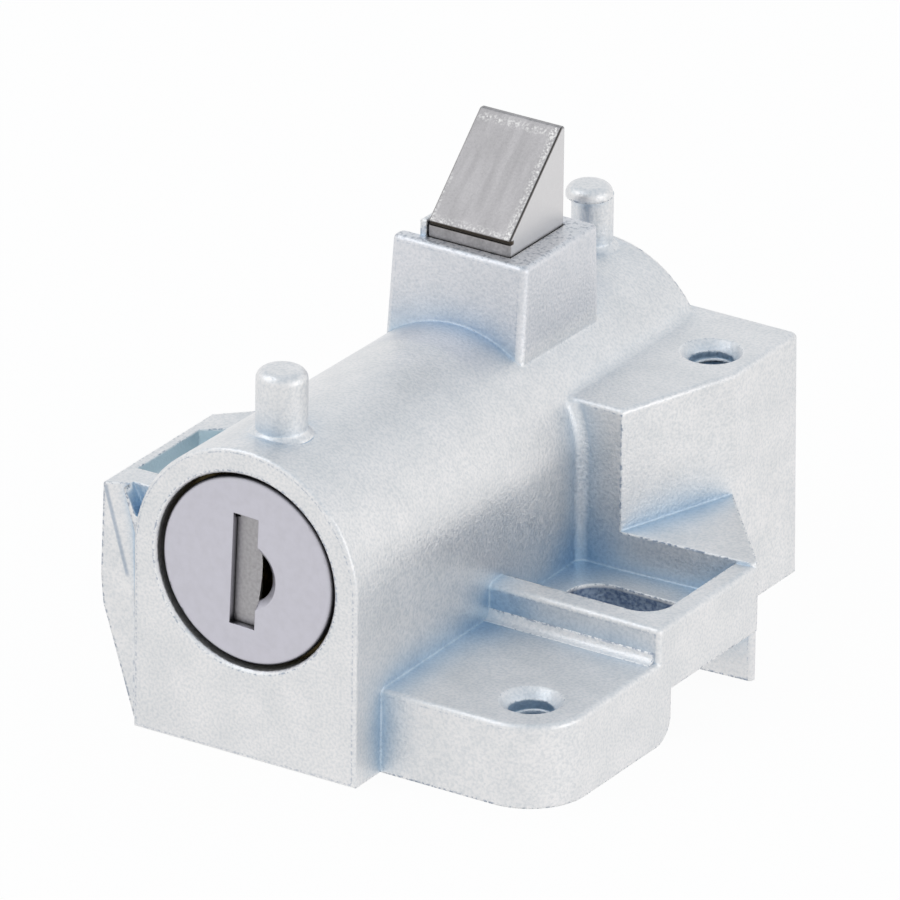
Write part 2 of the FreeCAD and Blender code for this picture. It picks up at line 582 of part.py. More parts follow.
def pins():
    """Two round pins on the crown of the barrel; the rear one has a head over a slimmer neck."""
    front, rear = "pin_setback", "pin_setback + pin_pitch"
    front_bar = round_bar("front_pin", "z", "pin_radius", ("axis_height", "pin_top"), ("0", front))
    head = round_bar("rear_pin", "z", "rear_pin_radius", ("rear_pin_top - rear_pin_head", "rear_pin_top"), ("0", rear))
    neck_depth = f"{rear} + rear_pin_shift"
    neck = round_bar("rear_pin_neck", "z", "rear_pin_neck", ("axis_height", "rear_pin_top - rear_pin_head"),
                     ("0", neck_depth))
    items = [rounded("front_pin_domed", front_bar, "pin_dome", lambda edge: lies_at(edge, "z", size("pin_top"))),
             rounded("rear_pin_domed", head, "pin_dome", lambda edge: lies_at(edge, "z", size("rear_pin_top"))), neck]
    for name, radius, depth in (("front_pin", "pin_radius", front), ("rear_pin", "rear_pin_neck", neck_depth)):
        crown = f"axis_height + barrel_radius - (barrel_radius - barrel_rear_radius) * ({depth}) / barrel_length"
        items.append(cone(name + "_foot", "z", (f"{radius} + 2 * pin_foot", radius),
                          (f"{crown} - pin_foot", f"{crown} + pin_foot"), ("0", depth)))
    return items


def screw_hole(name, side, depth, span):
    """A screw hole with a countersunk mouth at its upper end."""
    hole = round_bar(name, "z", "screw_hole_radius", (span[0], f"{span[1]} + 1"), (side, depth))
    mouth = cone(name + "_mouth", "z", ("screw_hole_radius", "screw_mouth_radius"),
                 (f"{span[1]} - screw_mouth_depth", span[1]), (side, depth))
    return [hole, mouth]


def housing_hollows():
    """Bores, the chamber of bolt and driver, the cover's recess and the screw holes."""
    channel_side = "bolt_half_width + bolt_play"
    chamber_side = "driver_half_width + driver_play"
    tools = [
        round_bar("sleeve_bore_hole", "y", "bore_radius", ("-1", "bore_depth"), AXIS),
        cone("bore_mouth", "y", ("bore_radius + 2 * bore_break", "bore_radius"), ("-bore_break", "bore_break"), AXIS),
        round_bar("crank_bore", "y", "crank_bore_radius", ("bore_depth - 1", CHANNEL_FRONT), AXIS),
        box("chamber", (f"-({chamber_side})", chamber_side), (f"{DRIVER_FRONT} - driver_play", CHANNEL_REAR),
            ("-1", f"{DRIVER_TOP} + chamber_headroom")),
        box("bolt_channel", (f"-({channel_side})", channel_side), (CHANNEL_FRONT, CHANNEL_REAR),
            ("axis_height", "tower_top + guide_rib_height + 1")),
        round_bar("sleeve_pin_hole", "z", "sleeve_pin_radius", ("-1", "axis_height - sleeve_bore"),
                  ("0", "sleeve_pin_depth")),
    ]
    recess = box("cover_recess_block", ("-cover_half_width - cover_play", "cover_half_width + cover_play"),
                 ("cover_front - cover_play", "cover_rear + cover_play"), ("-1", "cover_recess"))
    tools.append(rounded("cover_recess_rounded", recess, "cover_corner", lambda edge: runs_along(edge, "z")))
    for number, depth in enumerate(COVER_SCREWS, start=1):
        tools.append(round_bar(f"cover_thread_{number}", "z", "cover_screw_radius",
                               ("0", f"{COVER_FLOOR} + cover_screw_length + screw_room"), ("0", depth)))
    tools += screw_hole("flange_screw_hole", "flange_screw_side", "flange_screw_depth", ("-1", "flange_height"))
    tools += screw_hole("block_screw_hole", "block_screw_side", "block_screw_depth",
                        ("block_top - block_screw_length", "block_top"))
    return tools


solid = fuse("casting", barrel_and_block(), *flange(), lug(), *tower(), *pins())
piece(cut("housing_cast", solid, *housing_hollows()), "housing")


# Sleeve: pressed into the bore, with four channels for the wafers, and the pin that holds it
def sleeve():
    body = round_bar("sleeve_body", "y", "bore_radius", ("sleeve_front", "bore_depth"), AXIS)
    bore = round_bar("sleeve_hole", "y", "sleeve_bore", ("0", "bore_depth + 1"), AXIS)
    ring = round_bar("channel_ring", "y", "channel_radius", ("channel_front", "channel_rear"), AXIS)
    span = ("channel_front - 1", "channel_rear + 1")
    reach, half = "bore_radius", "channel_half_width"
    upright = box("channels_upright", (f"-{half}", half), span, (f"axis_height - {reach}", f"axis_height + {reach}"))
    level = box("channels_level", (f"-{reach}", reach), span, (f"axis_height - {half}", f"axis_height + {half}"))
    channels = common("channels", ring, fuse("channel_cross", upright, level))
    pin = round_bar("sleeve_notch", "z", "sleeve_pin_radius", ("0", SLEEVE_PIN_TOP), ("0", "sleeve_pin_depth"))
    return cut("sleeve", body, bore, channels, pin)


SLEEVE_PIN_TOP = "axis_height - bore_radius + sleeve_pin_bite"
piece(sleeve(), "cylinder_sleeve")
pin_bar = round_bar("sleeve_pin_bar", "z", "sleeve_pin_radius", ("sleeve_pin_foot", SLEEVE_PIN_TOP),
                    ("0", "sleeve_pin_depth - pin_setback"))
piece(pin_bar, "sleeve_pin", set_back=False)


# Wafers and their springs: every second one is turned over, so that it springs downward
def turned(item, flip):
    """Turns an item half round about the cylinder axis."""
    if not flip:
        return item
    copy = doc.addObject("Part::Compound", item.Name + "_turned")
    copy.Links = [item]
    copy.Placement = Placement(Vector(), Rotation(Vector(0, 1, 0), 180))
    bind(copy, Base_z="2 * axis_height")
    return copy


def wafer_start(index):
    return f"wafer_first + {index} * wafer_pitch"


def wafer(index, shift):
    front = wafer_start(index)
    span = (front, f"{front} + wafer_thickness")
    name = f"wafer_{index + 1}"
    disc = round_bar(name + "_disc", "y", "wafer_radius", span, AXIS)
    strip = box(name + "_strip", ("-wafer_half_width", "wafer_half_width"), span, ("0", "2 * axis_height"))
    ear_low = "axis_height + wafer_ear_low"
    ear = box(name + "_ear", ("0", "wafer_ear_reach"), span, (ear_low, f"{ear_low} + wafer_ear_height"))
    middle = f"axis_height + {shift} * bitting_step"
    window = box(name + "_window", ("-wafer_window_half_width", "wafer_window_half_width"),
                 (f"{front} - 1", f"{front} + wafer_thickness + 1"),
                 (f"{middle} - wafer_window_height / 2", f"{middle} + wafer_window_height / 2"))
    return cut(name + "_plate", fuse(name + "_blank", common(name + "_round", disc, strip), ear), window)


def wafer_room(index):
    """What the plug leaves free for one wafer and its spring."""
    front = wafer_start(index)
    name = f"room_{index + 1}"
    span = (f"{front} - wafer_play", f"{front} + wafer_thickness + wafer_play")
    slot = box(name + "_slot", ("-wafer_half_width - wafer_play", "wafer_half_width + wafer_play"), span,
               ("0", "2 * axis_height"))
    ear_low = "axis_height + wafer_ear_low"
    ear = box(name + "_ear", ("0", "wafer_ear_reach + wafer_play"), span,
              (f"{ear_low} - 2 * wafer_play", f"{ear_low} + wafer_ear_height + wafer_stroke + 3 * wafer_play"))
    well = round_bar(name + "_well", "z", "wafer_spring_radius + wafer_play",
                     ("axis_height - wafer_spring_foot - wafer_play", ear_low),
                     ("wafer_spring_side", f"{front} + wafer_thickness / 2"))
    return fuse(name, slot, ear, well)


def flips(index):
    return index % 2 == 1


def wafer_spring(index):
    side = "-wafer_spring_side" if flips(index) else "wafer_spring_side"
    length = "wafer_ear_low + wafer_spring_foot - 2 * wafer_play"
    foot = "axis_height - wafer_spring_foot + wafer_play"
    if flips(index):
        foot = "axis_height - wafer_ear_low + wafer_play"
    middle = f"{wafer_start(index)} + wafer_thickness / 2"
    return spring(f"wafer_spring_{index + 1}", "wafer_spring_radius", "wafer_spring_wire", foot, length,
                  (side, middle))


for index, shift in enumerate(BITTING):
    piece(turned(wafer(index, shift), flips(index)), f"wafer_{index + 1}")
    piece(wafer_spring(index), f"wafer_spring_{index + 1}", set_back=False)


# Plug: the turning core, with keyway, wafer slots, a flatted tail and room for the leaning shutter
SHUTTER_FRONT = "disc_setback + disc_thickness + shutter_play"
HINGE_DEPTH = f"{SHUTTER_FRONT} + shutter_hinge_radius"
PLUG_REAR = "bore_depth + plug_proud"
KEYWAY_SPAN = ("axis_height - keyway_low - keyway_height / 2", "axis_height - keyway_low + keyway_height / 2")


def tilted(item):
    """Turns an item by the keyway's tilt about the cylinder axis."""
    copy = doc.addObject("Part::Compound", item.Name + "_tilted")
    copy.Links = [item]
    copy.Placement = Placement(Vector(), Rotation(Vector(0, 1, 0), 1))
    bind(copy, Angle="keyway_tilt", Base_x="-axis_height * sin(keyway_tilt)",
         Base_z="axis_height * (1 - cos(keyway_tilt))")
    return copy


def coil_room(owner):
    """What plug and disc leave free for the shutter's coil."""
    high = "axis_height + shutter_height / 2"
    return round_bar(owner + "_coil_room", "z", "shutter_spring_radius + 2 * shutter_play",
                     (f"{high} - shutter_spring_length - 2 * shutter_play", f"{high} + 2 * shutter_play"),
                     ("-shutter_hinge", HINGE_DEPTH))


def plug():
    head = round_bar("plug_head", "y", "plug_head_radius", ("disc_setback + disc_thickness", "plug_head_rear"), AXIS)
    core = round_bar("plug_core", "y", "sleeve_bore - plug_play", ("plug_head_rear", PLUG_REAR), AXIS)
    tail_round = round_bar("plug_tail_round", "y", "tail_radius", (PLUG_REAR, f"{CRANK_REAR} - tail_play"), AXIS)
    tail_flats = box("plug_tail_flats", ("-tail_flat", "tail_flat"), (PLUG_REAR, f"{CRANK_REAR} - tail_play"),
                     ("0", "2 * axis_height"))
    solid = fuse("plug_solid", head, core, common("plug_tail", tail_round, tail_flats))
    keyway = box("plug_keyway", ("-keyway_side - keyway_half_width", "keyway_half_width - keyway_side"),
                 ("0", "keyway_depth"), KEYWAY_SPAN)
    pocket_half = "shutter_height / 2 + 4 * shutter_play"
    lean = f"({pocket_half}) * sin(keyway_tilt)"
    pocket = box("shutter_pocket_block", (f"-shutter_hinge - shutter_hinge_radius - 2 * shutter_play - {lean}",
                                          "keyway_bulge - keyway_side"),
                 ("0", f"{SHUTTER_FRONT} + shutter_pocket"),
                 (f"axis_height - ({pocket_half})", f"axis_height + {pocket_half}"))
    holes_half = "shutter_height / 2 + shutter_trunnion + 2 * shutter_play"
    holes = round_bar("shutter_hinge_hole", "z", "shutter_hinge_radius + shutter_play",
                      (f"axis_height - ({holes_half})", f"axis_height + {holes_half}"),
                      ("-shutter_hinge", HINGE_DEPTH))
    hinge = tilted(fuse("shutter_hinge_room", holes, coil_room("plug")))
    screw = round_bar("crank_thread", "y", "crank_screw_radius",
                      (f"{CRANK_REAR} + crank_washer_thickness - crank_screw_length - screw_room",
                       f"{CRANK_REAR} + 1"), AXIS)
    rooms = [turned(wafer_room(index), flips(index)) for index in range(len(BITTING))]
    return cut("plug_cut", solid, keyway, pocket, hinge, screw, *rooms)


piece(plug(), "plug")


# Face disc and shutter
def face_disc():
    span = ("disc_setback", "disc_setback + disc_thickness")
    disc = round_bar("disc_blank", "y", "disc_radius", span, AXIS)
    disc = rounded("disc_rounded", disc, "disc_round", lambda edge: lies_at(edge, "y", size("disc_setback")))
    slot = box("disc_slot", ("-keyway_side - keyway_half_width", "keyway_half_width - keyway_side"),
               ("0", "bore_depth"), KEYWAY_SPAN)
    bulge = cone("disc_bulge", "y", ("keyway_bulge", "keyway_bulge_inner"), span,
                 ("-keyway_side", "axis_height - keyway_drop"))
    right = box("disc_bulge_side", ("0", "bore_radius"), ("0", "bore_depth"), ("0", "2 * axis_height"))
    return cut("disc", disc, slot, common("disc_bulge_half", bulge, right), coil_room("disc"))


def shutter():
    low, high = "axis_height - shutter_height / 2", "axis_height + shutter_height / 2"
    leaf = box("shutter_leaf", ("-shutter_hinge", "shutter_edge"),
               (SHUTTER_FRONT, f"{SHUTTER_FRONT} + shutter_thickness"), (low, high))
    knuckle = round_bar("shutter_knuckle", "z", "shutter_hinge_radius",
                        (f"{low} - shutter_trunnion", f"{high} + shutter_trunnion"),
                        ("-shutter_hinge", HINGE_DEPTH))
    scoop = doc.addObject("Part::Sphere", "shutter_scoop")
    bind(scoop, Radius="scoop_radius", Base_x="scoop_start + scoop_reach",
         Base_y=f"{SHUTTER_FRONT} - sqrt(scoop_radius * scoop_radius - scoop_reach * scoop_reach)",
         Base_z="axis_height")
    gap = box("shutter_coil_room", ("-bore_radius", "-shutter_hinge + shutter_spring_radius + 2 * shutter_play"),
              ("0", "bore_depth"), (f"{high} - shutter_spring_length - 2 * shutter_play", high))
    neck = round_bar("shutter_neck", "z", "shutter_hinge_radius", (f"{high} - shutter_spring_length - 1", high),
                     ("-shutter_hinge", HINGE_DEPTH))
    return fuse("shutter", cut("shutter_cut", fuse("shutter_blank", leaf, knuckle), scoop, gap), neck)


piece(tilted(face_disc()), "face_disc")
piece(tilted(shutter()), "keyway_shutter")
coil_foot = "axis_height + shutter_height / 2 - shutter_spring_length"
coil = spring("shutter_spring", "shutter_spring_radius", "shutter_spring_wire", coil_foot,
              "shutter_spring_length - shutter_play", ("-shutter_hinge", f"{HINGE_DEPTH} + pin_setback"))
piece(tilted(coil), "shutter_spring")


# Crank: disc with its eccentric pin, a washer and the screw that hold it on the plug's tail
def crank():
    disc = round_bar("crank_disc", "y", "crank_radius", (CRANK_FRONT, CRANK_REAR), AXIS)
    side = f"{CRANK_THROW} * cos(crank_angle)"
    rise = f"axis_height + {CRANK_THROW} * sin(crank_angle)"
    pin = round_bar("crank_pin", "y", "crank_pin_radius", (CRANK_FRONT, f"{DRIVER_REAR} - driver_play"), (side, rise))
    hole_round = round_bar("crank_hole_round", "y", "tail_radius + tail_play", ("0", "barrel_length"), AXIS)
    hole_flats = box("crank_hole_flats", ("-tail_flat - tail_play", "tail_flat + tail_play"), ("0", "barrel_length"),
                     ("0", "2 * axis_height"))
    return cut("crank_cut", fuse("crank_solid", disc, pin), common("crank_hole", hole_round, hole_flats))


piece(crank(), "crank")
WASHER_REAR = f"{CRANK_REAR} + crank_washer_thickness"
washer = round_bar("washer_blank", "y", "crank_washer_radius", (CRANK_REAR, WASHER_REAR), AXIS)
washer_hole = round_bar("washer_hole", "y", "crank_screw_radius", ("0", "barrel_length"), AXIS)
piece(cut("washer", washer, washer_hole), "crank_washer")
HEAD_REAR = f"{WASHER_REAR} + crank_screw_head_height"
screw_head = round_bar("crank_screw_head_blank", "y", "crank_screw_head", (WASHER_REAR, HEAD_REAR), AXIS)
head_blank = screw_head
screw_head = rounded("crank_screw_head_round", head_blank, "crank_screw_round",
                     lambda edge: lies_at(edge, "y", head_blank.Shape.BoundBox.YMax))
screw_shank = round_bar("crank_screw_shank", "y", "crank_screw_radius",
                        (f"{WASHER_REAR} - crank_screw_length", WASHER_REAR), AXIS)
drive = box("crank_screw_drive", ("-crank_screw_head", "crank_screw_head"),
            (f"{HEAD_REAR} - screw_slot_depth", f"{HEAD_REAR} + 1"),
            ("axis_height - screw_slot / 2", "axis_height + screw_slot / 2"))
piece(cut("crank_screw_cut", fuse("crank_screw_solid", screw_head, screw_shank), drive), "crank_screw")


# Driver: the plate that the crank pin carries down; its tab pulls the bolt by its window
def driver():
    half = "driver_half_width"
    plate = box("driver_plate", (f"-{half}", half), (DRIVER_FRONT, DRIVER_REAR), (DRIVER_BOTTOM, DRIVER_TOP))
    slot = box("driver_slot", ("driver_slot_start", "barrel_radius"), ("0", "barrel_length"),
               (f"{SLOT_MIDDLE} - driver_slot_height / 2", f"{SLOT_MIDDLE} + driver_slot_height / 2"))
    tab = box("driver_tab_block", ("-driver_tab_half_width", "driver_tab_half_width"),
              (DRIVER_REAR, "bolt_front + window_depth - bolt_play"), (f"{DRIVER_TOP} - driver_tab", DRIVER_TOP))
    return fuse("driver", cut("driver_cut", plate, slot), tab)


piece(driver(), "bolt_driver")


# Bolt: drawn from its side, with the window for the driver and the blind hole for its spring
def bolt():
    rear = "bolt_front + bolt_depth"
    side = prism("bolt_side", "yz", [("bolt_front", BOLT_BOTTOM), (rear, BOLT_BOTTOM), (rear, BOLT_TOP),
                                     (f"{rear} - bolt_land", BOLT_TOP), ("bolt_front", "tower_top + bolt_lip")],
                 ("-bolt_half_width", "bolt_half_width"))
    side = rounded("bolt_rounded", side, "bolt_edge", lambda edge: edge.BoundBox.ZMax > size("tower_top") + 0.5)
    tab_low = f"{DRIVER_TOP} - driver_tab"
    window = box("bolt_window", ("-window_half_width", "window_half_width"), ("0", "bolt_front + window_depth"),
                 (f"{tab_low} - bolt_play", f"{DRIVER_TOP} + bolt_stroke + 2 * bolt_play"))
    well = round_bar("bolt_spring_hole", "z", "bolt_spring_radius + spring_play", ("0", "bolt_spring_top"),
                     ("0", "bolt_front + bolt_spring_setback"))
    return cut("bolt_cut", side, window, well)


piece(bolt(), "bolt")
piece(spring("bolt_spring", "bolt_spring_radius", "bolt_spring_wire", "cover_recess + spring_gap",
             "bolt_spring_top - cover_recess - 2 * spring_gap", ("0", "bolt_front + bolt_spring_setback")),
      "bolt_spring", set_back=False)


# Base cover and its two countersunk screws
def cover():
    plate = box("cover_plate", ("-cover_half_width", "cover_half_width"), ("cover_front", "cover_rear"),
                (COVER_FLOOR, "cover_recess"))
    plate = rounded("cover_rounded", plate, "cover_corner", lambda edge: runs_along(edge, "z"))
    spigot = round_bar("cover_spigot", "z", "cover_spigot_radius", (COVER_FLOOR, "cover_recess + cover_spigot_height"),
                       ("0", "bolt_front + bolt_spring_setback"))
    holes = [cover_screw(f"cover_hole_{number}", depth) for number, depth in enumerate(COVER_SCREWS, start=1)]
    return cut("cover", fuse("cover_with_spigot", plate, spigot), *holes)


def cover_screw(name, depth):
    """A countersunk screw, which is also the shape of its hole in the cover."""
    head = cone(name + "_head", "z", ("cover_screw_head", "cover_screw_radius"),
                (COVER_FLOOR, f"{COVER_FLOOR} + cover_screw_head_height"), ("0", depth))
    shank = round_bar(name + "_shank", "z", "cover_screw_radius", (COVER_FLOOR, f"{COVER_FLOOR} + cover_screw_length"),
                      ("0", depth))
    return fuse(name, head, shank)


def cover_screws():
    """Both screws, each with a cross recess in its head."""
    screws = []
    for number, depth in enumerate(COVER_SCREWS, start=1):
        name = f"cover_screw_{number}"
        span = ("0", f"{COVER_FLOOR} + screw_slot_depth")
        reach, half = "cover_screw_head / 2", "screw_slot / 2"
        long_arm = box(name + "_long_arm", (f"-{half}", half), (f"{depth} - {reach}", f"{depth} + {reach}"), span)
        cross_arm = box(name + "_cross_arm", (f"-{reach}", reach), (f"{depth} - {half}", f"{depth} + {half}"), span)
        screws.append(cut(name, cover_screw(name + "_blank", depth), long_arm, cross_arm))
    both = doc.addObject("Part::Compound", "cover_screw_pair")
    both.Links = screws
    return both


piece(cover(), "base_cover")
piece(cover_screws(), "cover_screws")


# Build, check and write every piece
doc.recompute()
for item in doc.Objects:
    if "Invalid" in item.State or "Error" in item.State:
        raise RuntimeError(f"{item.Name} did not build: {item.State}")
for item in PIECES:
    shape = item.Shape
    if shape.isNull() or not shape.isValid() or not shape.Solids:
        raise RuntimeError(f"{item.Label} is not a valid solid")
    shape.exportStep(os.path.join("parts", item.Label + ".step"))
    print(f"{item.Label}: {len(shape.Solids)} solid(s), {shape.Volume:.1f} mm3")
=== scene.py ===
# %% [markdown]
# # A battery lock, dressed in Blender
# The lock is one zinc casting with a key cylinder in its nose and a slanted bolt in a tower. Every
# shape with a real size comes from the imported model. This lesson gives those shapes their finish:
# cast grain, rounded rims, a satin disc, a sintered bolt, and threads that were only plain holes.

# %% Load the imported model
import math

import bmesh
import bpy
from mathutils import Matrix, Vector


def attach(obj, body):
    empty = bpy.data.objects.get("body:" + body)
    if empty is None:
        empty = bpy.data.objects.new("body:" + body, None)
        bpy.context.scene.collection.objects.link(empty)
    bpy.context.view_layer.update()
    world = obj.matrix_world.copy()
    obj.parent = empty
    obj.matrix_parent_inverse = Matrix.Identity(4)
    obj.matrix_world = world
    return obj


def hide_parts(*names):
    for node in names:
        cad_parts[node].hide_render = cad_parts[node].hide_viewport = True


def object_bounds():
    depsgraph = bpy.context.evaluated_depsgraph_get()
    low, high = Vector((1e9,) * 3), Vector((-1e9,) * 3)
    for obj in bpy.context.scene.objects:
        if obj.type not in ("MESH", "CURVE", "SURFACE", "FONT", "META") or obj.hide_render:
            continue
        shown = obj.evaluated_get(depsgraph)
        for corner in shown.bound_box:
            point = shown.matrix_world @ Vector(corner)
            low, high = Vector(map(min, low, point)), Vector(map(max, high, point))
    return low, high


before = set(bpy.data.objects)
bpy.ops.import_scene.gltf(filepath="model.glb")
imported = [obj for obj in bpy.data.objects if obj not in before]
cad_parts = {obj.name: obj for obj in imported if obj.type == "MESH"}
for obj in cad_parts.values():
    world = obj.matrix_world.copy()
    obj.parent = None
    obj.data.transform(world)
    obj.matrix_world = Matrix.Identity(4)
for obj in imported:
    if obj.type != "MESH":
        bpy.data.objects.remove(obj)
MM = 0.001
cad_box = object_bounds()

# %% [markdown]
# ## The camera
# A long lens from far away keeps upright edges upright, as in a catalogue picture. The camera is
# placed by its angles and by the point it looks at, so that a small correction means one number.

# %% Place the camera
CAMERA_AZIMUTH = math.radians(32.149)
CAMERA_ELEVATION = math.radians(24.388)
CAMERA_ROLL = math.radians(0.751)
CAMERA_DISTANCE = 1221.7 * MM
CAMERA_RIGHT, CAMERA_UP = 15.649 * MM, 23.269 * MM
NOSE_FRONT = -5.0 * MM
PICTURE_SIDE, FOCAL_PIXELS, SENSOR = 900, 16162, 36.0


def place_camera():
    data = bpy.data.cameras.new("Catalogue camera")
    data.sensor_width = SENSOR
    data.lens = FOCAL_PIXELS * SENSOR / PICTURE_SIDE
    data.clip_start, data.clip_end = 0.05, 20
    camera = bpy.data.objects.new("Catalogue camera", data)
    bpy.context.scene.collection.objects.link(camera)
    a, e, roll = CAMERA_AZIMUTH, CAMERA_ELEVATION, CAMERA_ROLL
    back = Vector((math.sin(a) * math.cos(e), -math.cos(a) * math.cos(e), math.sin(e)))
    level = Vector((math.cos(a), math.sin(a), 0))
    rise = back.cross(level)
    right = level * math.cos(roll) + rise * math.sin(roll)
    up = rise * math.cos(roll) - level * math.sin(roll)
    place = back * CAMERA_DISTANCE + right * CAMERA_RIGHT + up * CAMERA_UP + Vector((0, NOSE_FRONT, 0))
    turn = Matrix((right, up, back)).transposed().to_4x4()
    camera.matrix_world = Matrix.Translation(place) @ turn
    bpy.context.scene.camera = camera
    return camera


camera = place_camera()
print("lens (mm):", round(camera.data.lens, 1))

# %% [markdown]
# ## The studio
# Plated metal shows what surrounds it, so the surroundings are built first: a white world, a pale
# floor that keeps a faint shadow, and large soft lamps. The floor looks white to the camera because
# its own colour is mixed with plain white there, and not because it gets more light.

# %% Build the world, the floor and the lamps
scene = bpy.context.scene
scene.view_settings.view_transform = "Standard"
WORLD_LIGHT = 0.8
FLOOR_SIDE = 3.0
FLOOR_WHITE = 0.95
CEILING = (0.74, 0.79, 0.84)
DAYLIGHT = (0.93, 0.965, 1.0)
LAMP_DISTANCE, LAMP_SIDE = 0.6, 0.35


def seen_directly(nodes, links):
    """1 for a ray from the camera, metal or glass, and 0 for the light that falls on things."""
    path = nodes.new("ShaderNodeLightPath")
    seen = path.outputs["Is Camera Ray"]
    for kind in ("Is Glossy Ray", "Is Transmission Ray"):
        either = nodes.new("ShaderNodeMath")
        either.operation = "MAXIMUM"
        links.new(seen, either.inputs[0])
        links.new(path.outputs[kind], either.inputs[1])
        seen = either.outputs[0]
    return seen


def build_world():
    world = bpy.data.worlds.new("White studio")
    world.use_nodes = True
    nodes, links = world.node_tree.nodes, world.node_tree.links
    light = nodes["Background"]
    light.inputs["Color"].default_value = (*DAYLIGHT, 1)
    light.inputs["Strength"].default_value = WORLD_LIGHT
    backdrop = nodes.new("ShaderNodeBackground")
    backdrop.inputs["Strength"].default_value = 1.0
    direction = nodes.new("ShaderNodeTexCoord")
    height = nodes.new("ShaderNodeSeparateXYZ")
    links.new(direction.outputs["Generated"], height.inputs[0])
    wall = nodes.new("ShaderNodeValToRGB")
    wall.color_ramp.elements[0].position, wall.color_ramp.elements[0].color = 0.3, (1, 1, 1, 1)
    wall.color_ramp.elements[1].position, wall.color_ramp.elements[1].color = 0.8, (*CEILING, 1)
    links.new(height.outputs["Z"], wall.inputs["Fac"])
    links.new(wall.outputs["Color"], backdrop.inputs["Color"])
    mix = nodes.new("ShaderNodeMixShader")
    links.new(seen_directly(nodes, links), mix.inputs[0])
    links.new(light.outputs[0], mix.inputs[1])
    links.new(backdrop.outputs[0], mix.inputs[2])
    links.new(mix.outputs[0], nodes["World Output"].inputs["Surface"])
    bpy.context.scene.world = world


def build_floor():
    mesh = bpy.data.meshes.new("Floor")
    half = FLOOR_SIDE / 2
    corners = [(-half, -half, 0), (half, -half, 0), (half, half, 0), (-half, half, 0)]
    mesh.from_pydata(corners, [], [(0, 1, 2, 3)])
    floor = bpy.data.objects.new("Floor", mesh)
    bpy.context.scene.collection.objects.link(floor)
    floor.location.z = cad_box[0].z - 0.02 * MM
    paper = bpy.data.materials.new("White paper")
    paper.use_nodes = True
    nodes, links = paper.node_tree.nodes, paper.node_tree.links
    body = nodes["Principled BSDF"]
    body.inputs["Base Color"].default_value = (0.9, 0.9, 0.9, 1)
    body.inputs["Roughness"].default_value = 0.9
    glow = nodes.new("ShaderNodeEmission")
    glow.inputs["Strength"].default_value = 1.0
    mix = nodes.new("ShaderNodeMixShader")
    share = nodes.new("ShaderNodeMath")
    share.operation = "MULTIPLY"
    share.inputs[1].default_value = FLOOR_WHITE
    links.new(seen_directly(nodes, links), share.inputs[0])
    links.new(share.outputs[0], mix.inputs[0])
    links.new(body.outputs[0], mix.inputs[1])
    links.new(glow.outputs[0], mix.inputs[2])
    links.new(mix.outputs[0], nodes["Material Output"].inputs["Surface"])
    mesh.materials.append(paper)
    return floor


def build_lamp(name, azimuth, elevation, distance, side, watts, colour=(1, 1, 1)):
    data = bpy.data.lights.new(name, "AREA")
    data.shape = "SQUARE"
    data.size, data.energy, data.color = side, watts, colour
    lamp = bpy.data.objects.new(name, data)
    bpy.context.scene.collection.objects.link(lamp)
    a, e = math.radians(azimuth), math.radians(elevation)
    away = Vector((math.sin(a) * math.cos(e), -math.cos(a) * math.cos(e), math.sin(e)))
    centre = (cad_box[0] + cad_box[1]) / 2
    lamp.location = centre + away * distance
    lamp.rotation_mode = "QUATERNION"
    lamp.rotation_quaternion = away.to_track_quat("Z", "Y")
    return lamp


build_world()
build_floor()
build_lamp("High soft box left", -50, 50, LAMP_DISTANCE, LAMP_SIDE, 0.5, (1.0, 0.985, 0.97))
build_lamp("Soft box right", 95, 12, LAMP_DISTANCE, LAMP_SIDE, 0.45, (1.0, 0.98, 0.96))

# %% [markdown]
# ## Finishes
# Each finish is a small node tree on Object coordinates, which count metres from the origin, so a
# grain of a tenth of a millimetre is a noise scale in the thousands. Colour, roughness and bump all
# read noise, but a number that is the same everywhere is set on the shader itself.

# %% A helper for node trees
GRAIN_PER_METRE = 1 / MM


def new_finish(name, colour, metallic, roughness):
    material = bpy.data.materials.new(name)
    material.use_nodes = True
    nodes, links = material.node_tree.nodes, material.node_tree.links
    shader = nodes["Principled BSDF"]
    shader.inputs["Metallic"].default_value = metallic
    shader.inputs["Roughness"].default_value = roughness
    shader.inputs["Base Color"].default_value = (*colour, 1)
    place = nodes.new("ShaderNodeTexCoord")
    return material, nodes, links, shader, place.outputs["Object"]


def noise_at(nodes, links, place, per_mm, detail=4.0, stretch=None):
    """Noise with so many waves to a millimetre; stretch makes it longer along an axis."""
    if stretch:
        mapping = nodes.new("ShaderNodeMapping")
        mapping.inputs["Scale"].default_value = stretch
        links.new(place, mapping.inputs["Vector"])
        place = mapping.outputs["Vector"]
    noise = nodes.new("ShaderNodeTexNoise")
    noise.inputs["Scale"].default_value = per_mm * GRAIN_PER_METRE
    noise.inputs["Detail"].default_value = detail
    links.new(place, noise.inputs["Vector"])
    return noise.outputs["Fac"]


def ramp(nodes, links, value, stops):
    """Turns a number into a colour through the given (place, colour) stops."""
    node = nodes.new("ShaderNodeValToRGB")
    elements = node.color_ramp.elements
    while len(elements) < len(stops):
        elements.new(0.5)
    for element, (where, colour) in zip(elements, stops):
        element.position = where
        element.color = (*colour, 1)
    links.new(value, node.inputs["Fac"])
    return node.outputs["Color"]


def span(nodes, links, value, low, high):
    """Moves noise, which lies round a half, into the range low to high."""
    node = nodes.new("ShaderNodeMapRange")
    node.inputs["From Min"].default_value, node.inputs["From Max"].default_value = 0.3, 0.7
    node.inputs["To Min"].default_value, node.inputs["To Max"].default_value = low, high
    links.new(value, node.inputs["Value"])
    return node.outputs["Result"]


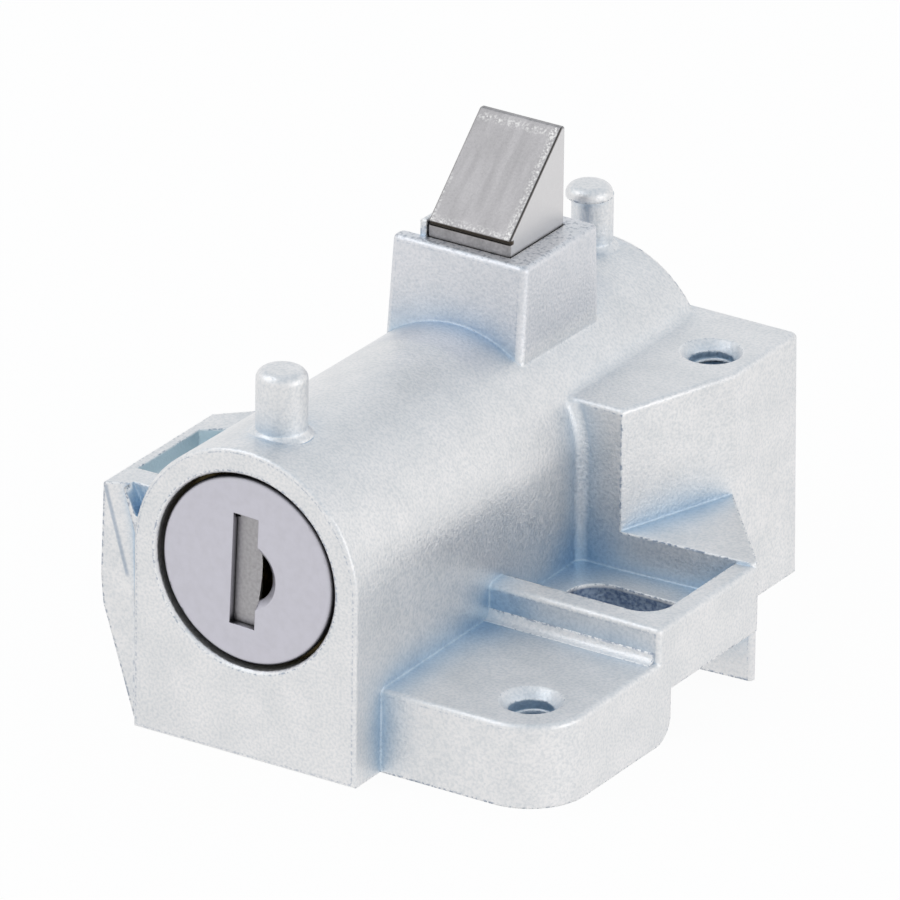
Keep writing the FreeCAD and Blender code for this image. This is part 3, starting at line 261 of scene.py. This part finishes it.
def bump(nodes, links, height, depth_mm, below=None):
    node = nodes.new("ShaderNodeBump")
    node.inputs["Strength"].default_value = 1.0
    node.inputs["Distance"].default_value = depth_mm * MM
    links.new(height, node.inputs["Height"])
    if below is not None:
        links.new(below, node.inputs["Normal"])
    return node.outputs["Normal"]


def soft_rim(nodes, radius_mm):
    """The surface's direction, turned gently over within the given distance of every edge."""
    node = nodes.new("ShaderNodeBevel")
    node.samples = 6
    node.inputs["Radius"].default_value = radius_mm * MM
    return node.outputs["Normal"]


def blend_colours(nodes, links, factor, first, second, how="MIX"):
    """Mixes two colours, each a socket or three numbers, by a socket or a number."""
    node = nodes.new("ShaderNodeMix")
    node.data_type, node.blend_type = "RGBA", how
    node.clamp_result = True
    for socket, value in (("Factor", factor), ("A", first), ("B", second)):
        where = node.inputs[socket] if socket == "Factor" else node.inputs[{"A": 6, "B": 7}[socket]]
        if isinstance(value, bpy.types.NodeSocket):
            links.new(value, where)
        else:
            where.default_value = value if isinstance(value, float) else (*value, 1)
    return node.outputs[2]


def openness(nodes, links, reach_mm, closed, open_, local=False):
    """0 deep in a corner or a gap and 1 on an open face, from the room within reach."""
    node = nodes.new("ShaderNodeAmbientOcclusion")
    node.samples = 6
    node.only_local = local
    node.inputs["Distance"].default_value = reach_mm * MM
    scale = nodes.new("ShaderNodeMapRange")
    scale.interpolation_type = "SMOOTHSTEP"
    scale.inputs["From Min"].default_value, scale.inputs["From Max"].default_value = closed, open_
    links.new(node.outputs["AO"], scale.inputs["Value"])
    return scale.outputs["Result"]


def near_edge(nodes, links, rim, low=0.004, high=0.06):
    """1 at an edge, where the softened direction leaves the face's own, and 0 on a face."""
    surface = nodes.new("ShaderNodeNewGeometry")
    dot = nodes.new("ShaderNodeVectorMath")
    dot.operation = "DOT_PRODUCT"
    links.new(rim, dot.inputs[0])
    links.new(surface.outputs["Normal"], dot.inputs[1])
    scale = nodes.new("ShaderNodeMapRange")
    scale.inputs["From Min"].default_value, scale.inputs["From Max"].default_value = 1 - low, 1 - high
    links.new(dot.outputs["Value"], scale.inputs["Value"])
    return scale.outputs["Result"]


def product(nodes, links, first, second):
    node = nodes.new("ShaderNodeMath")
    node.operation = "MULTIPLY"
    node.use_clamp = True
    for index, value in enumerate((first, second)):
        if isinstance(value, bpy.types.NodeSocket):
            links.new(value, node.inputs[index])
        else:
            node.inputs[index].default_value = value
    return node.outputs[0]


def add_node(nodes, links, kind, *values, **settings):
    """Adds a math node and fills its inputs with sockets or numbers."""
    node = nodes.new(kind)
    for key, value in settings.items():
        setattr(node, key, value)
    for index, value in enumerate(values):
        if isinstance(value, bpy.types.NodeSocket):
            links.new(value, node.inputs[index])
        else:
            node.inputs[index].default_value = value
    return node.outputs[0]


def within(nodes, links, place, low, high, soft_mm=0.1):
    """1 inside the box from low to high, in millimetres, fading to 0 over a soft margin."""
    axes = nodes.new("ShaderNodeSeparateXYZ")
    links.new(place, axes.inputs[0])
    mask = None
    for axis, (start, end) in enumerate(zip(low, high)):
        middle, half = (start + end) / 2 * MM, (end - start) / 2 * MM
        away = add_node(nodes, links, "ShaderNodeMath", axes.outputs[axis], middle, operation="SUBTRACT")
        away = add_node(nodes, links, "ShaderNodeMath", away, operation="ABSOLUTE")
        inner, outer = half - soft_mm * MM, half + soft_mm * MM
        side = add_node(nodes, links, "ShaderNodeMapRange", away, inner, outer, 1.0, 0.0)
        mask = side if mask is None else product(nodes, links, mask, side)
    return mask


def seam(nodes, links, place, start, end, width_mm):
    """1 on a plane that runs along Y through two points of X and Z, in millimetres, and 0 beside it."""
    run = Vector((end[0] - start[0], end[1] - start[1])).normalized()
    across = Vector((-run.y, run.x))
    dot = nodes.new("ShaderNodeVectorMath")
    dot.operation = "DOT_PRODUCT"
    links.new(place, dot.inputs[0])
    dot.inputs[1].default_value = (across.x, 0, across.y)
    offset = across.dot(Vector(start)) * MM
    away = add_node(nodes, links, "ShaderNodeMath", dot.outputs["Value"], offset, operation="SUBTRACT")
    away = add_node(nodes, links, "ShaderNodeMath", away, operation="ABSOLUTE")
    return add_node(nodes, links, "ShaderNodeMapRange", away, 0.3 * width_mm * MM, width_mm * MM, 1.0, 0.0)


def facing(nodes, links, direction, low, high):
    """1 where the surface itself looks in a direction, 0 where it looks elsewhere."""
    surface = nodes.new("ShaderNodeTexCoord")
    dot = nodes.new("ShaderNodeVectorMath")
    dot.operation = "DOT_PRODUCT"
    links.new(surface.outputs["Normal"], dot.inputs[0])
    dot.inputs[1].default_value = direction
    return add_node(nodes, links, "ShaderNodeMapRange", dot.outputs["Value"], low, high, 0.0, 1.0)


# %% [markdown]
# ### Zinc-plated casting
# Molten zinc takes the skin of the die: fine pimples and faint clouds. The cool blue in the inner corners is
# painted shade. Handling wears the outer edges bright, with dark specks, and that brightness is partly a
# painted highlight. So the colour asks two questions of each point: how open is it, and how near is an edge?

# %% Make the casting's finish
TOWER_SHADE_BOX = ((-7.0, 20.0, 24.0), (7.0, 40.0, 31.2))
TOWER_TOP = ((-6.5, 24.0, 30.7), (6.2, 36.5, 31.0))
SLOT_WALLS = ((11.5, 18.9, 3.5), (23.2, 25.0, 6.45))
POCKET_WALLS = ((-12.3, -1.7, 18.0), (-8.5, 9.5, 19.55))
FACET_SHADE_LINE, FACET_BOX = ((-12.75, 19.6), (-10.75, 12.75)), ((-13.5, -5.5, 12.4), (-10.0, -3.0, 19.5))


def make_zinc():
    material, nodes, links, shader, place = new_finish("Zinc plated casting", (0.79, 0.79, 0.8), 0.9, 0.42)
    clouds = noise_at(nodes, links, place, 0.35, 4.0)
    grain = noise_at(nodes, links, place, 4.2, 3.0)
    specks = noise_at(nodes, links, place, 3.2, 2.0)
    open_colour = ramp(nodes, links, clouds, [(0.32, (0.785, 0.785, 0.79)), (0.66, (0.85, 0.84, 0.84))])
    # Painted shade: in the inner corners the colour turns to a darker blue.
    corner_shade_colour = ramp(nodes, links, clouds, [(0.32, (0.42, 0.57, 0.72)), (0.66, (0.52, 0.66, 0.79))])
    room = openness(nodes, links, 5.0, 0.4, 0.88, True)
    colour = blend_colours(nodes, links, room, corner_shade_colour, open_colour)
    mottle = ramp(nodes, links, grain, [(0.34, (0.84, 0.865, 0.885)), (0.6, (1.0, 1.0, 1.0))])
    colour = blend_colours(nodes, links, 1.0, colour, mottle, "MULTIPLY")
    # Painted shade: the tower is tinted a little darker than the rest of the casting.
    tower_shade = within(nodes, links, place, *TOWER_SHADE_BOX, 0.6)
    colour = blend_colours(nodes, links, tower_shade, colour, (0.91, 0.92, 0.95), "MULTIPLY")
    scraped = ramp(nodes, links, specks, [(0.36, (0.68, 0.7, 0.73)), (0.48, (1.0, 1.0, 1.0))])
    top = within(nodes, links, place, *TOWER_TOP)
    colour = blend_colours(nodes, links, top, colour, scraped, "MULTIPLY")
    # Painted shade: the walls of the slot under the flange get a dark speckled blue.
    shade = ramp(nodes, links, specks, [(0.38, (0.14, 0.2, 0.32)), (0.6, (0.3, 0.38, 0.5))])
    colour = blend_colours(nodes, links, within(nodes, links, place, *SLOT_WALLS), colour, shade, "MULTIPLY")
    # Painted light: the walls of the lug's pocket get a lighter, pale blue.
    pocket_painted_light = within(nodes, links, place, *POCKET_WALLS, 0.05)
    colour = blend_colours(nodes, links, pocket_painted_light, colour, (0.68, 0.77, 0.81))
    # Painted shade: a darker bluish line along the crease of the facet on the lug.
    facet = within(nodes, links, place, *FACET_BOX, 0.2)
    facet_painted_shade = product(nodes, links, facet, seam(nodes, links, place, *FACET_SHADE_LINE, 0.2))
    colour = blend_colours(nodes, links, facet_painted_shade, colour, (0.6, 0.66, 0.74), "MULTIPLY")
    rims = soft_rim(nodes, 0.3)
    # The outer edges turn lighter with dark specks: partly wear, partly a painted highlight.
    wear_and_highlight = ramp(nodes, links, specks, [(0.38, (0.36, 0.42, 0.5)), (0.46, (0.95, 0.95, 0.95))])
    edge = near_edge(nodes, links, rims)
    outer = product(nodes, links, edge, openness(nodes, links, 0.8, 0.72, 0.95, True))
    colour = blend_colours(nodes, links, product(nodes, links, outer, 0.9), colour, wear_and_highlight)
    forward = facing(nodes, links, (0, -1, 0), 0.97, 0.995)
    foot = product(nodes, links, near_edge(nodes, links, rims, 0.001, 0.006), forward)
    rough = ramp(nodes, links, specks, [(0.42, (1.0, 1.0, 1.0)), (0.56, (0.0, 0.0, 0.0))])
    foot = product(nodes, links, foot, openness(nodes, links, 0.8, 0.8, 0.98, True))
    colour = blend_colours(nodes, links, product(nodes, links, foot, rough), colour, (0.3, 0.36, 0.46))
    links.new(colour, shader.inputs["Base Color"])
    links.new(span(nodes, links, grain, 0.34, 0.5), shader.inputs["Roughness"])
    skin = bump(nodes, links, grain, 0.03, rims)
    links.new(bump(nodes, links, specks, 0.03, skin), shader.inputs["Normal"])
    return material


zinc = make_zinc()
print("made", zinc.name)

# %% [markdown]
# ### Steels and brass
# The bolt is pressed from steel powder, so it is warm grey with open pores. The disc is turned
# sheet, plain and satin. Hidden brass and wire get the same treatment in their own colours.

# %% Make the other metals
def make_metal(name, dark, light, roughness, grain_per_mm, depth_mm, rim_mm, wear_and_highlight=None, recess_mm=0.0,
               gloom_span=(0.3, 0.78)):
    """A satin metal; its edges take the given wear colour, which also stands for a painted highlight, and
    recess_mm is how far painted shade reaches into a gap.
    """
    material, nodes, links, shader, place = new_finish(name, light, 0.9, roughness)
    grain = noise_at(nodes, links, place, grain_per_mm, 4.0)
    colour = ramp(nodes, links, grain, [(0.32, dark), (0.66, light)])
    rims = soft_rim(nodes, rim_mm)
    # The edges turn lighter: partly wear, partly a painted highlight.
    if wear_and_highlight:
        specks = noise_at(nodes, links, place, 3.0, 2.0)
        edge = product(nodes, links, near_edge(nodes, links, rims), openness(nodes, links, 0.6, 0.7, 0.95))
        spotted = ramp(nodes, links, specks, [(0.4, dark), (0.47, wear_and_highlight)])
        colour = blend_colours(nodes, links, product(nodes, links, edge, 0.85), colour, spotted)
    # Painted shade: the colour darkens nearly to black deep in a gap or recess.
    if recess_mm:
        gloom = tuple(part * 0.12 for part in dark)
        colour = blend_colours(nodes, links, openness(nodes, links, recess_mm, *gloom_span), gloom, colour)
    links.new(colour, shader.inputs["Base Color"])
    links.new(span(nodes, links, grain, roughness - 0.06, roughness + 0.08), shader.inputs["Roughness"])
    links.new(bump(nodes, links, grain, depth_mm, rims), shader.inputs["Normal"])
    return material


BRIGHT = (0.85, 0.84, 0.82)
sintered = make_metal("Sintered steel", (0.4, 0.39, 0.385), (0.54, 0.53, 0.52), 0.42, 4.5, 0.012,
                      0.3, BRIGHT, 0.5)
disc_steel = make_metal("Satin disc steel", (0.565, 0.555, 0.61), (0.605, 0.595, 0.655), 0.36, 1.6,
                        0.002, 0.14, None, 0.8, (0.55, 0.93))
shutter_steel = make_metal("Shutter steel", (0.33, 0.32, 0.33), (0.44, 0.43, 0.44), 0.4, 4.0, 0.004,
                           0.1, BRIGHT, 0.4)
plated = make_metal("Plated steel", (0.6, 0.64, 0.67), (0.74, 0.77, 0.8), 0.34, 3.0, 0.004, 0.1)
pin_steel = make_metal("Ground pin steel", (0.46, 0.46, 0.47), (0.6, 0.6, 0.61), 0.28, 5.0, 0.003, 0.05)
spring_steel = make_metal("Drawn spring wire", (0.3, 0.3, 0.31), (0.5, 0.5, 0.51), 0.3, 5.0, 0.003, 0.03)
brass = make_metal("Turned brass", (0.6, 0.46, 0.2), (0.78, 0.63, 0.33), 0.3, 3.0, 0.003, 0.08, None, 2.5,
                   (0.6, 0.98))
wafer_brass = make_metal("Stamped brass", (0.62, 0.48, 0.24), (0.8, 0.66, 0.38), 0.34, 4.0, 0.004, 0.05)
print("metals:", len(bpy.data.materials))

# %% [markdown]
# ### The bolt
# Pressing leaves a coarse face with a bright crumbled margin, and years of sliding polish the two
# sides. Masks in Object coordinates tell the slanted face from its margins.

# %% Make the bolt's finish
BOLT_HALF, BOLT_FRONT, LIP_TOP, RIDGE_TOP = 3.72, 26.15, 32.15, 39.05
BOLT_GROOVE = ((-5, 25.9, 31.8), (5, 26.4, 32.15))
SLOPE = (0, -0.692, 0.722)


def make_bolt_steel():
    material, nodes, links, shader, place = new_finish("Pressed bolt steel", (0.38, 0.37, 0.37), 0.9, 0.42)
    grain = noise_at(nodes, links, place, 4.5, 4.0)
    specks = noise_at(nodes, links, place, 5.2, 2.0)
    streaks = noise_at(nodes, links, place, 1.1, 3.0, (1.0, 0.18, 0.18))
    colour = ramp(nodes, links, grain, [(0.32, (0.33, 0.32, 0.325)), (0.66, (0.45, 0.435, 0.44))])
    drawn = ramp(nodes, links, streaks, [(0.36, (0.86, 0.86, 0.86)), (0.62, (1.0, 1.0, 1.0))])
    colour = blend_colours(nodes, links, 1.0, colour, drawn, "MULTIPLY")
    slope = facing(nodes, links, SLOPE, 0.96, 0.99)
    front, rear = BOLT_FRONT - 1, BOLT_FRONT + 9
    margins = [((BOLT_HALF - 0.7, front, 30), (BOLT_HALF - 0.15, rear, 40)),
               ((-BOLT_HALF, front, 30), (0.35 - BOLT_HALF, rear, 35)),
               ((-BOLT_HALF, front, LIP_TOP), (BOLT_HALF, rear, LIP_TOP + 0.35)),
               ((-BOLT_HALF, front, RIDGE_TOP - 0.6), (BOLT_HALF, rear, RIDGE_TOP - 0.3))]
    crumbs = ramp(nodes, links, specks, [(0.46, (0.0, 0.0, 0.0)), (0.64, (0.8, 0.8, 0.8))])
    for low, high in margins:
        band = product(nodes, links, slope, within(nodes, links, place, low, high, 0.2))
        colour = blend_colours(nodes, links, product(nodes, links, band, crumbs), colour, (0.7, 0.69, 0.67))
    for side in (-1, 1):
        polish = facing(nodes, links, (side, 0, 0), 0.93, 0.99)
        colour = blend_colours(nodes, links, polish, colour, (0.7, 0.69, 0.695))
    # Painted shade: a dark line along the right edge of the slanted face.
    line_low, line_high = (BOLT_HALF - 0.14, front, LIP_TOP), (BOLT_HALF + 0.02, rear, RIDGE_TOP)
    painted_edge_shade = within(nodes, links, place, line_low, line_high, 0.03)
    painted_edge_shade = product(nodes, links, painted_edge_shade, facing(nodes, links, (0, -0.6, 0.5), 0.3, 0.5))
    colour = blend_colours(nodes, links, painted_edge_shade, colour, (0.07, 0.065, 0.06))
    # Painted shade: a dark brown band in the groove under the slanted face.
    groove_shade_low, groove_shade_high = (-5, front, LIP_TOP - 0.36), (5, BOLT_FRONT + 0.5, LIP_TOP - 0.02)
    groove = within(nodes, links, place, groove_shade_low, groove_shade_high, 0.03)
    colour = blend_colours(nodes, links, groove, colour, (0.1, 0.08, 0.06))
    # Painted shade: the colour turns black deep in a hole or gap.
    hole = openness(nodes, links, 0.5, 0.3, 0.78)
    colour = blend_colours(nodes, links, hole, (0.05, 0.05, 0.05), colour)
    links.new(colour, shader.inputs["Base Color"])
    links.new(span(nodes, links, grain, 0.36, 0.5), shader.inputs["Roughness"])
    skin = bump(nodes, links, grain, 0.012, soft_rim(nodes, 0.12))
    links.new(skin, shader.inputs["Normal"])
    return material


bolt_steel = make_bolt_steel()

# %% [markdown]
# ## From loose triangles to clean parts
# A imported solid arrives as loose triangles. A copy of it is merged, its flat faces are joined again,
# and a narrow bevel breaks every sharp edge, as a die or a deburring wheel does. The copy then
# stands for the solid.

# %% A helper that cleans and bevels a solid
FINISHED = {}
WELD, FLAT_DEGREES = 0.0005 * MM, 0.4
FLAT_FACE_WEIGHT = 90


def carve(piece, low, high):
    """Cuts the box from low to high, in millimetres, out of a finished copy."""
    size, centre = (Vector(high) - Vector(low)) * MM, (Vector(high) + Vector(low)) / 2 * MM
    block = bmesh.new()
    bmesh.ops.create_cube(block, size=1.0, matrix=Matrix.LocRotScale(centre, None, size))
    mesh = bpy.data.meshes.new("Cutter")
    block.to_mesh(mesh)
    block.free()
    cutter = bpy.data.objects.new("Cutter", mesh)
    bpy.context.scene.collection.objects.link(cutter)
    cut = piece.modifiers.new("Groove", "BOOLEAN")
    cut.operation, cut.solver, cut.object = "DIFFERENCE", "EXACT", cutter
    ready = piece.evaluated_get(bpy.context.evaluated_depsgraph_get())
    carved = bpy.data.meshes.new_from_object(ready)
    piece.modifiers.remove(cut)
    piece.data = carved
    bpy.data.objects.remove(cutter)


def finish_solid(node, body, finish, edge_mm, sharp_degrees=32, segments=2, groove=None):
    """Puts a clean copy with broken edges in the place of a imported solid."""
    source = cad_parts[node]
    mesh = bpy.data.meshes.new(f"{node}_finished")
    work = bmesh.new()
    work.from_mesh(source.data)
    bmesh.ops.remove_doubles(work, verts=work.verts, dist=WELD)
    bmesh.ops.dissolve_degenerate(work, edges=work.edges, dist=WELD)
    bmesh.ops.dissolve_limit(work, angle_limit=math.radians(FLAT_DEGREES), verts=work.verts,
                             edges=work.edges, use_dissolve_boundaries=False)
    work.to_mesh(mesh)
    work.free()
    piece = bpy.data.objects.new(f"{node}_finished", mesh)
    bpy.context.scene.collection.objects.link(piece)
    mesh.materials.clear()
    mesh.materials.append(finish)
    if groove:
        carve(piece, *groove)
    for face in piece.data.polygons:
        face.use_smooth = True
        face.material_index = 0
    piece.data.set_sharp_from_angle(angle=math.radians(sharp_degrees))
    if edge_mm:
        rim = piece.modifiers.new("Broken edges", "BEVEL")
        rim.width = edge_mm * MM
        rim.segments = segments
        rim.limit_method = "ANGLE"
        rim.angle_limit = math.radians(sharp_degrees)
        rim.use_clamp_overlap = True
    flat = piece.modifiers.new("Flat faces stay flat", "WEIGHTED_NORMAL")
    flat.weight = FLAT_FACE_WEIGHT
    flat.keep_sharp = True
    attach(piece, body)
    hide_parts(node)
    FINISHED[node] = piece
    return piece


# %% [markdown]
# ## Dress the pieces
# The pieces that show get a bevelled copy. The hidden ones keep their solids and get a material.

# %% Dress the pieces that show
finish_solid("housing", "housing", zinc, 0.12)
finish_solid("bolt", "bolt", bolt_steel, 0.1, groove=BOLT_GROOVE)
finish_solid("face_disc", "plug", disc_steel, 0.08)
finish_solid("keyway_shutter", "shutter", shutter_steel, 0.05)
for node, piece in FINISHED.items():
    print(node, "triangles:", sum(len(f.vertices) - 2 for f in piece.data.polygons))

# %% [markdown]
# ## Threads in the screw holes
# The two screw holes are tapped, and a thread is a ridge that follows a spiral. A Geometry Nodes
# tree draws the spiral, sweeps a small four-sided section along it and sets it in its hole. Half of
# the section lies in the wall, so only the crest shows.

# %% Build the tree of the threads
THREAD_RADIUS, THREAD_PITCH, THREAD_CREST = 1.75 * MM, 0.7 * MM, 0.2 * MM
STEPS_PER_TURN = 24
THREAD_SIZES = [("Radius", "NodeSocketFloat"), ("Pitch", "NodeSocketFloat"), ("Crest", "NodeSocketFloat"),
                ("Turns", "NodeSocketFloat"), ("Foot", "NodeSocketVector"), ("Finish", "NodeSocketMaterial")]


def thread_tree():
    tree = bpy.data.node_groups.new("Thread", "GeometryNodeTree")
    tree.interface.new_socket("Geometry", in_out="INPUT", socket_type="NodeSocketGeometry")
    for name, kind in THREAD_SIZES:
        tree.interface.new_socket(name, in_out="INPUT", socket_type=kind)
    tree.interface.new_socket("Geometry", in_out="OUTPUT", socket_type="NodeSocketGeometry")
    nodes, links = tree.nodes, tree.links
    given, result = nodes.new("NodeGroupInput"), nodes.new("NodeGroupOutput")
    rise = nodes.new("ShaderNodeMath")
    rise.operation = "MULTIPLY"
    links.new(given.outputs["Pitch"], rise.inputs[0])
    links.new(given.outputs["Turns"], rise.inputs[1])
    spiral = nodes.new("GeometryNodeCurveSpiral")
    spiral.inputs["Resolution"].default_value = STEPS_PER_TURN
    links.new(given.outputs["Turns"], spiral.inputs["Rotations"])
    links.new(given.outputs["Radius"], spiral.inputs["Start Radius"])
    links.new(given.outputs["Radius"], spiral.inputs["End Radius"])
    links.new(rise.outputs[0], spiral.inputs["Height"])
    section = nodes.new("GeometryNodeCurvePrimitiveCircle")
    section.inputs["Resolution"].default_value = 4
    links.new(given.outputs["Crest"], section.inputs["Radius"])
    ridge = nodes.new("GeometryNodeCurveToMesh")
    ridge.inputs["Fill Caps"].default_value = True
    links.new(spiral.outputs["Curve"], ridge.inputs["Curve"])
    links.new(section.outputs["Curve"], ridge.inputs["Profile Curve"])
    place = nodes.new("GeometryNodeTransform")
    links.new(ridge.outputs["Mesh"], place.inputs["Geometry"])
    links.new(given.outputs["Foot"], place.inputs["Translation"])
    real = nodes.new("GeometryNodeRealizeInstances")
    links.new(place.outputs["Geometry"], real.inputs["Geometry"])
    paint = nodes.new("GeometryNodeSetMaterial")
    links.new(real.outputs["Geometry"], paint.inputs["Geometry"])
    links.new(given.outputs["Finish"], paint.inputs["Material"])
    links.new(paint.outputs["Geometry"], result.inputs["Geometry"])
    return tree


def made_by(tree, name, values, body):
    """Runs a tree with the given values and keeps its result as a plain mesh on a body."""
    holder = bpy.data.objects.new(name, bpy.data.meshes.new(name))
    bpy.context.scene.collection.objects.link(holder)
    step = holder.modifiers.new(tree.name, "NODES")
    step.node_group = tree
    inputs = {item.name: item.identifier for item in tree.interface.items_tree if item.in_out == "INPUT"}
    for label, value in values.items():
        step[inputs[label]] = value
    holder.update_tag()
    ready = holder.evaluated_get(bpy.context.evaluated_depsgraph_get())
    mesh = bpy.data.meshes.new_from_object(ready)
    holder.modifiers.clear()
    holder.data = mesh
    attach(holder, body)
    return holder


THREADS = {"flange_thread": ((20.3, 3.5, 0.5), 7.4), "block_thread": ((13.1, 40.6, 9.0), 14.0)}
tree = thread_tree()
for name, (foot, turns) in THREADS.items():
    sizes = {"Radius": THREAD_RADIUS, "Pitch": THREAD_PITCH, "Crest": THREAD_CREST,
             "Turns": turns, "Foot": Vector(foot) * MM, "Finish": zinc}
    thread = made_by(tree, name, sizes, "housing")
    print(name, "faces:", len(thread.data.polygons))

# %% [markdown]
# ## The cove under the cross wall
# Where the flange meets the wall of the tray the die leaves a hollow rounding. It catches the high
# lamp as one long bright band. A strip with an arc for its section fills that corner.

# %% Fill the corner with a cove
COVE_RADIUS, COVE_WALL, COVE_FLOOR = 0.8, 14.2, 6.85
COVE_ENDS, COVE_STEPS = (9.6, 24.5), 10
COVE_ROOT = 0.1


def build_cove():
    """A strip along X with an arc for its face, rooted a little way in the wall and the floor."""
    arc = [math.radians(90 * step / COVE_STEPS) for step in range(COVE_STEPS + 1)]
    section = [(COVE_WALL - COVE_RADIUS + COVE_RADIUS * math.sin(a),
                COVE_FLOOR + COVE_RADIUS - COVE_RADIUS * math.cos(a)) for a in arc]
    section += [(COVE_WALL + COVE_ROOT, COVE_FLOOR + COVE_RADIUS),
                (COVE_WALL + COVE_ROOT, COVE_FLOOR - COVE_ROOT),
                (COVE_WALL - COVE_RADIUS, COVE_FLOOR - COVE_ROOT)]
    count = len(section)
    corners = [(x * MM, y * MM, z * MM) for x in COVE_ENDS for y, z in section]
    faces = [tuple(reversed(range(count))), tuple(range(count, 2 * count))]
    faces += [(i, (i + 1) % count, (i + 1) % count + count, i + count) for i in range(count)]
    mesh = bpy.data.meshes.new("flange_cove")
    mesh.from_pydata(corners, [], faces)
    mesh.materials.append(zinc)
    for face in mesh.polygons:
        face.use_smooth = True
    mesh.set_sharp_from_angle(angle=math.radians(40))
    work = bmesh.new()
    work.from_mesh(mesh)
    bmesh.ops.recalc_face_normals(work, faces=work.faces)
    work.to_mesh(mesh)
    work.free()
    cove = bpy.data.objects.new("flange_cove", mesh)
    bpy.context.scene.collection.objects.link(cove)
    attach(cove, "housing")


build_cove()

# %% [markdown]
# ## The pieces inside
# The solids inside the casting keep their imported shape. Each gets the metal that it would be made of.

# %% Give the hidden solids their metals
HIDDEN = {"cylinder_sleeve": brass, "sleeve_pin": pin_steel, "plug": brass, "crank": sintered,
          "crank_washer": plated, "crank_screw": plated, "bolt_driver": sintered,
          "bolt_spring": spring_steel, "shutter_spring": spring_steel, "base_cover": plated,
          "cover_screws": plated}
HIDDEN.update({f"wafer_{n}": wafer_brass for n in range(1, 7)})
HIDDEN.update({f"wafer_spring_{n}": spring_steel for n in range(1, 7)})
for node, finish in HIDDEN.items():
    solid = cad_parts[node]
    if not solid.data.materials:
        solid.data.materials.append(finish)
    for place in solid.material_slots:
        place.material = finish
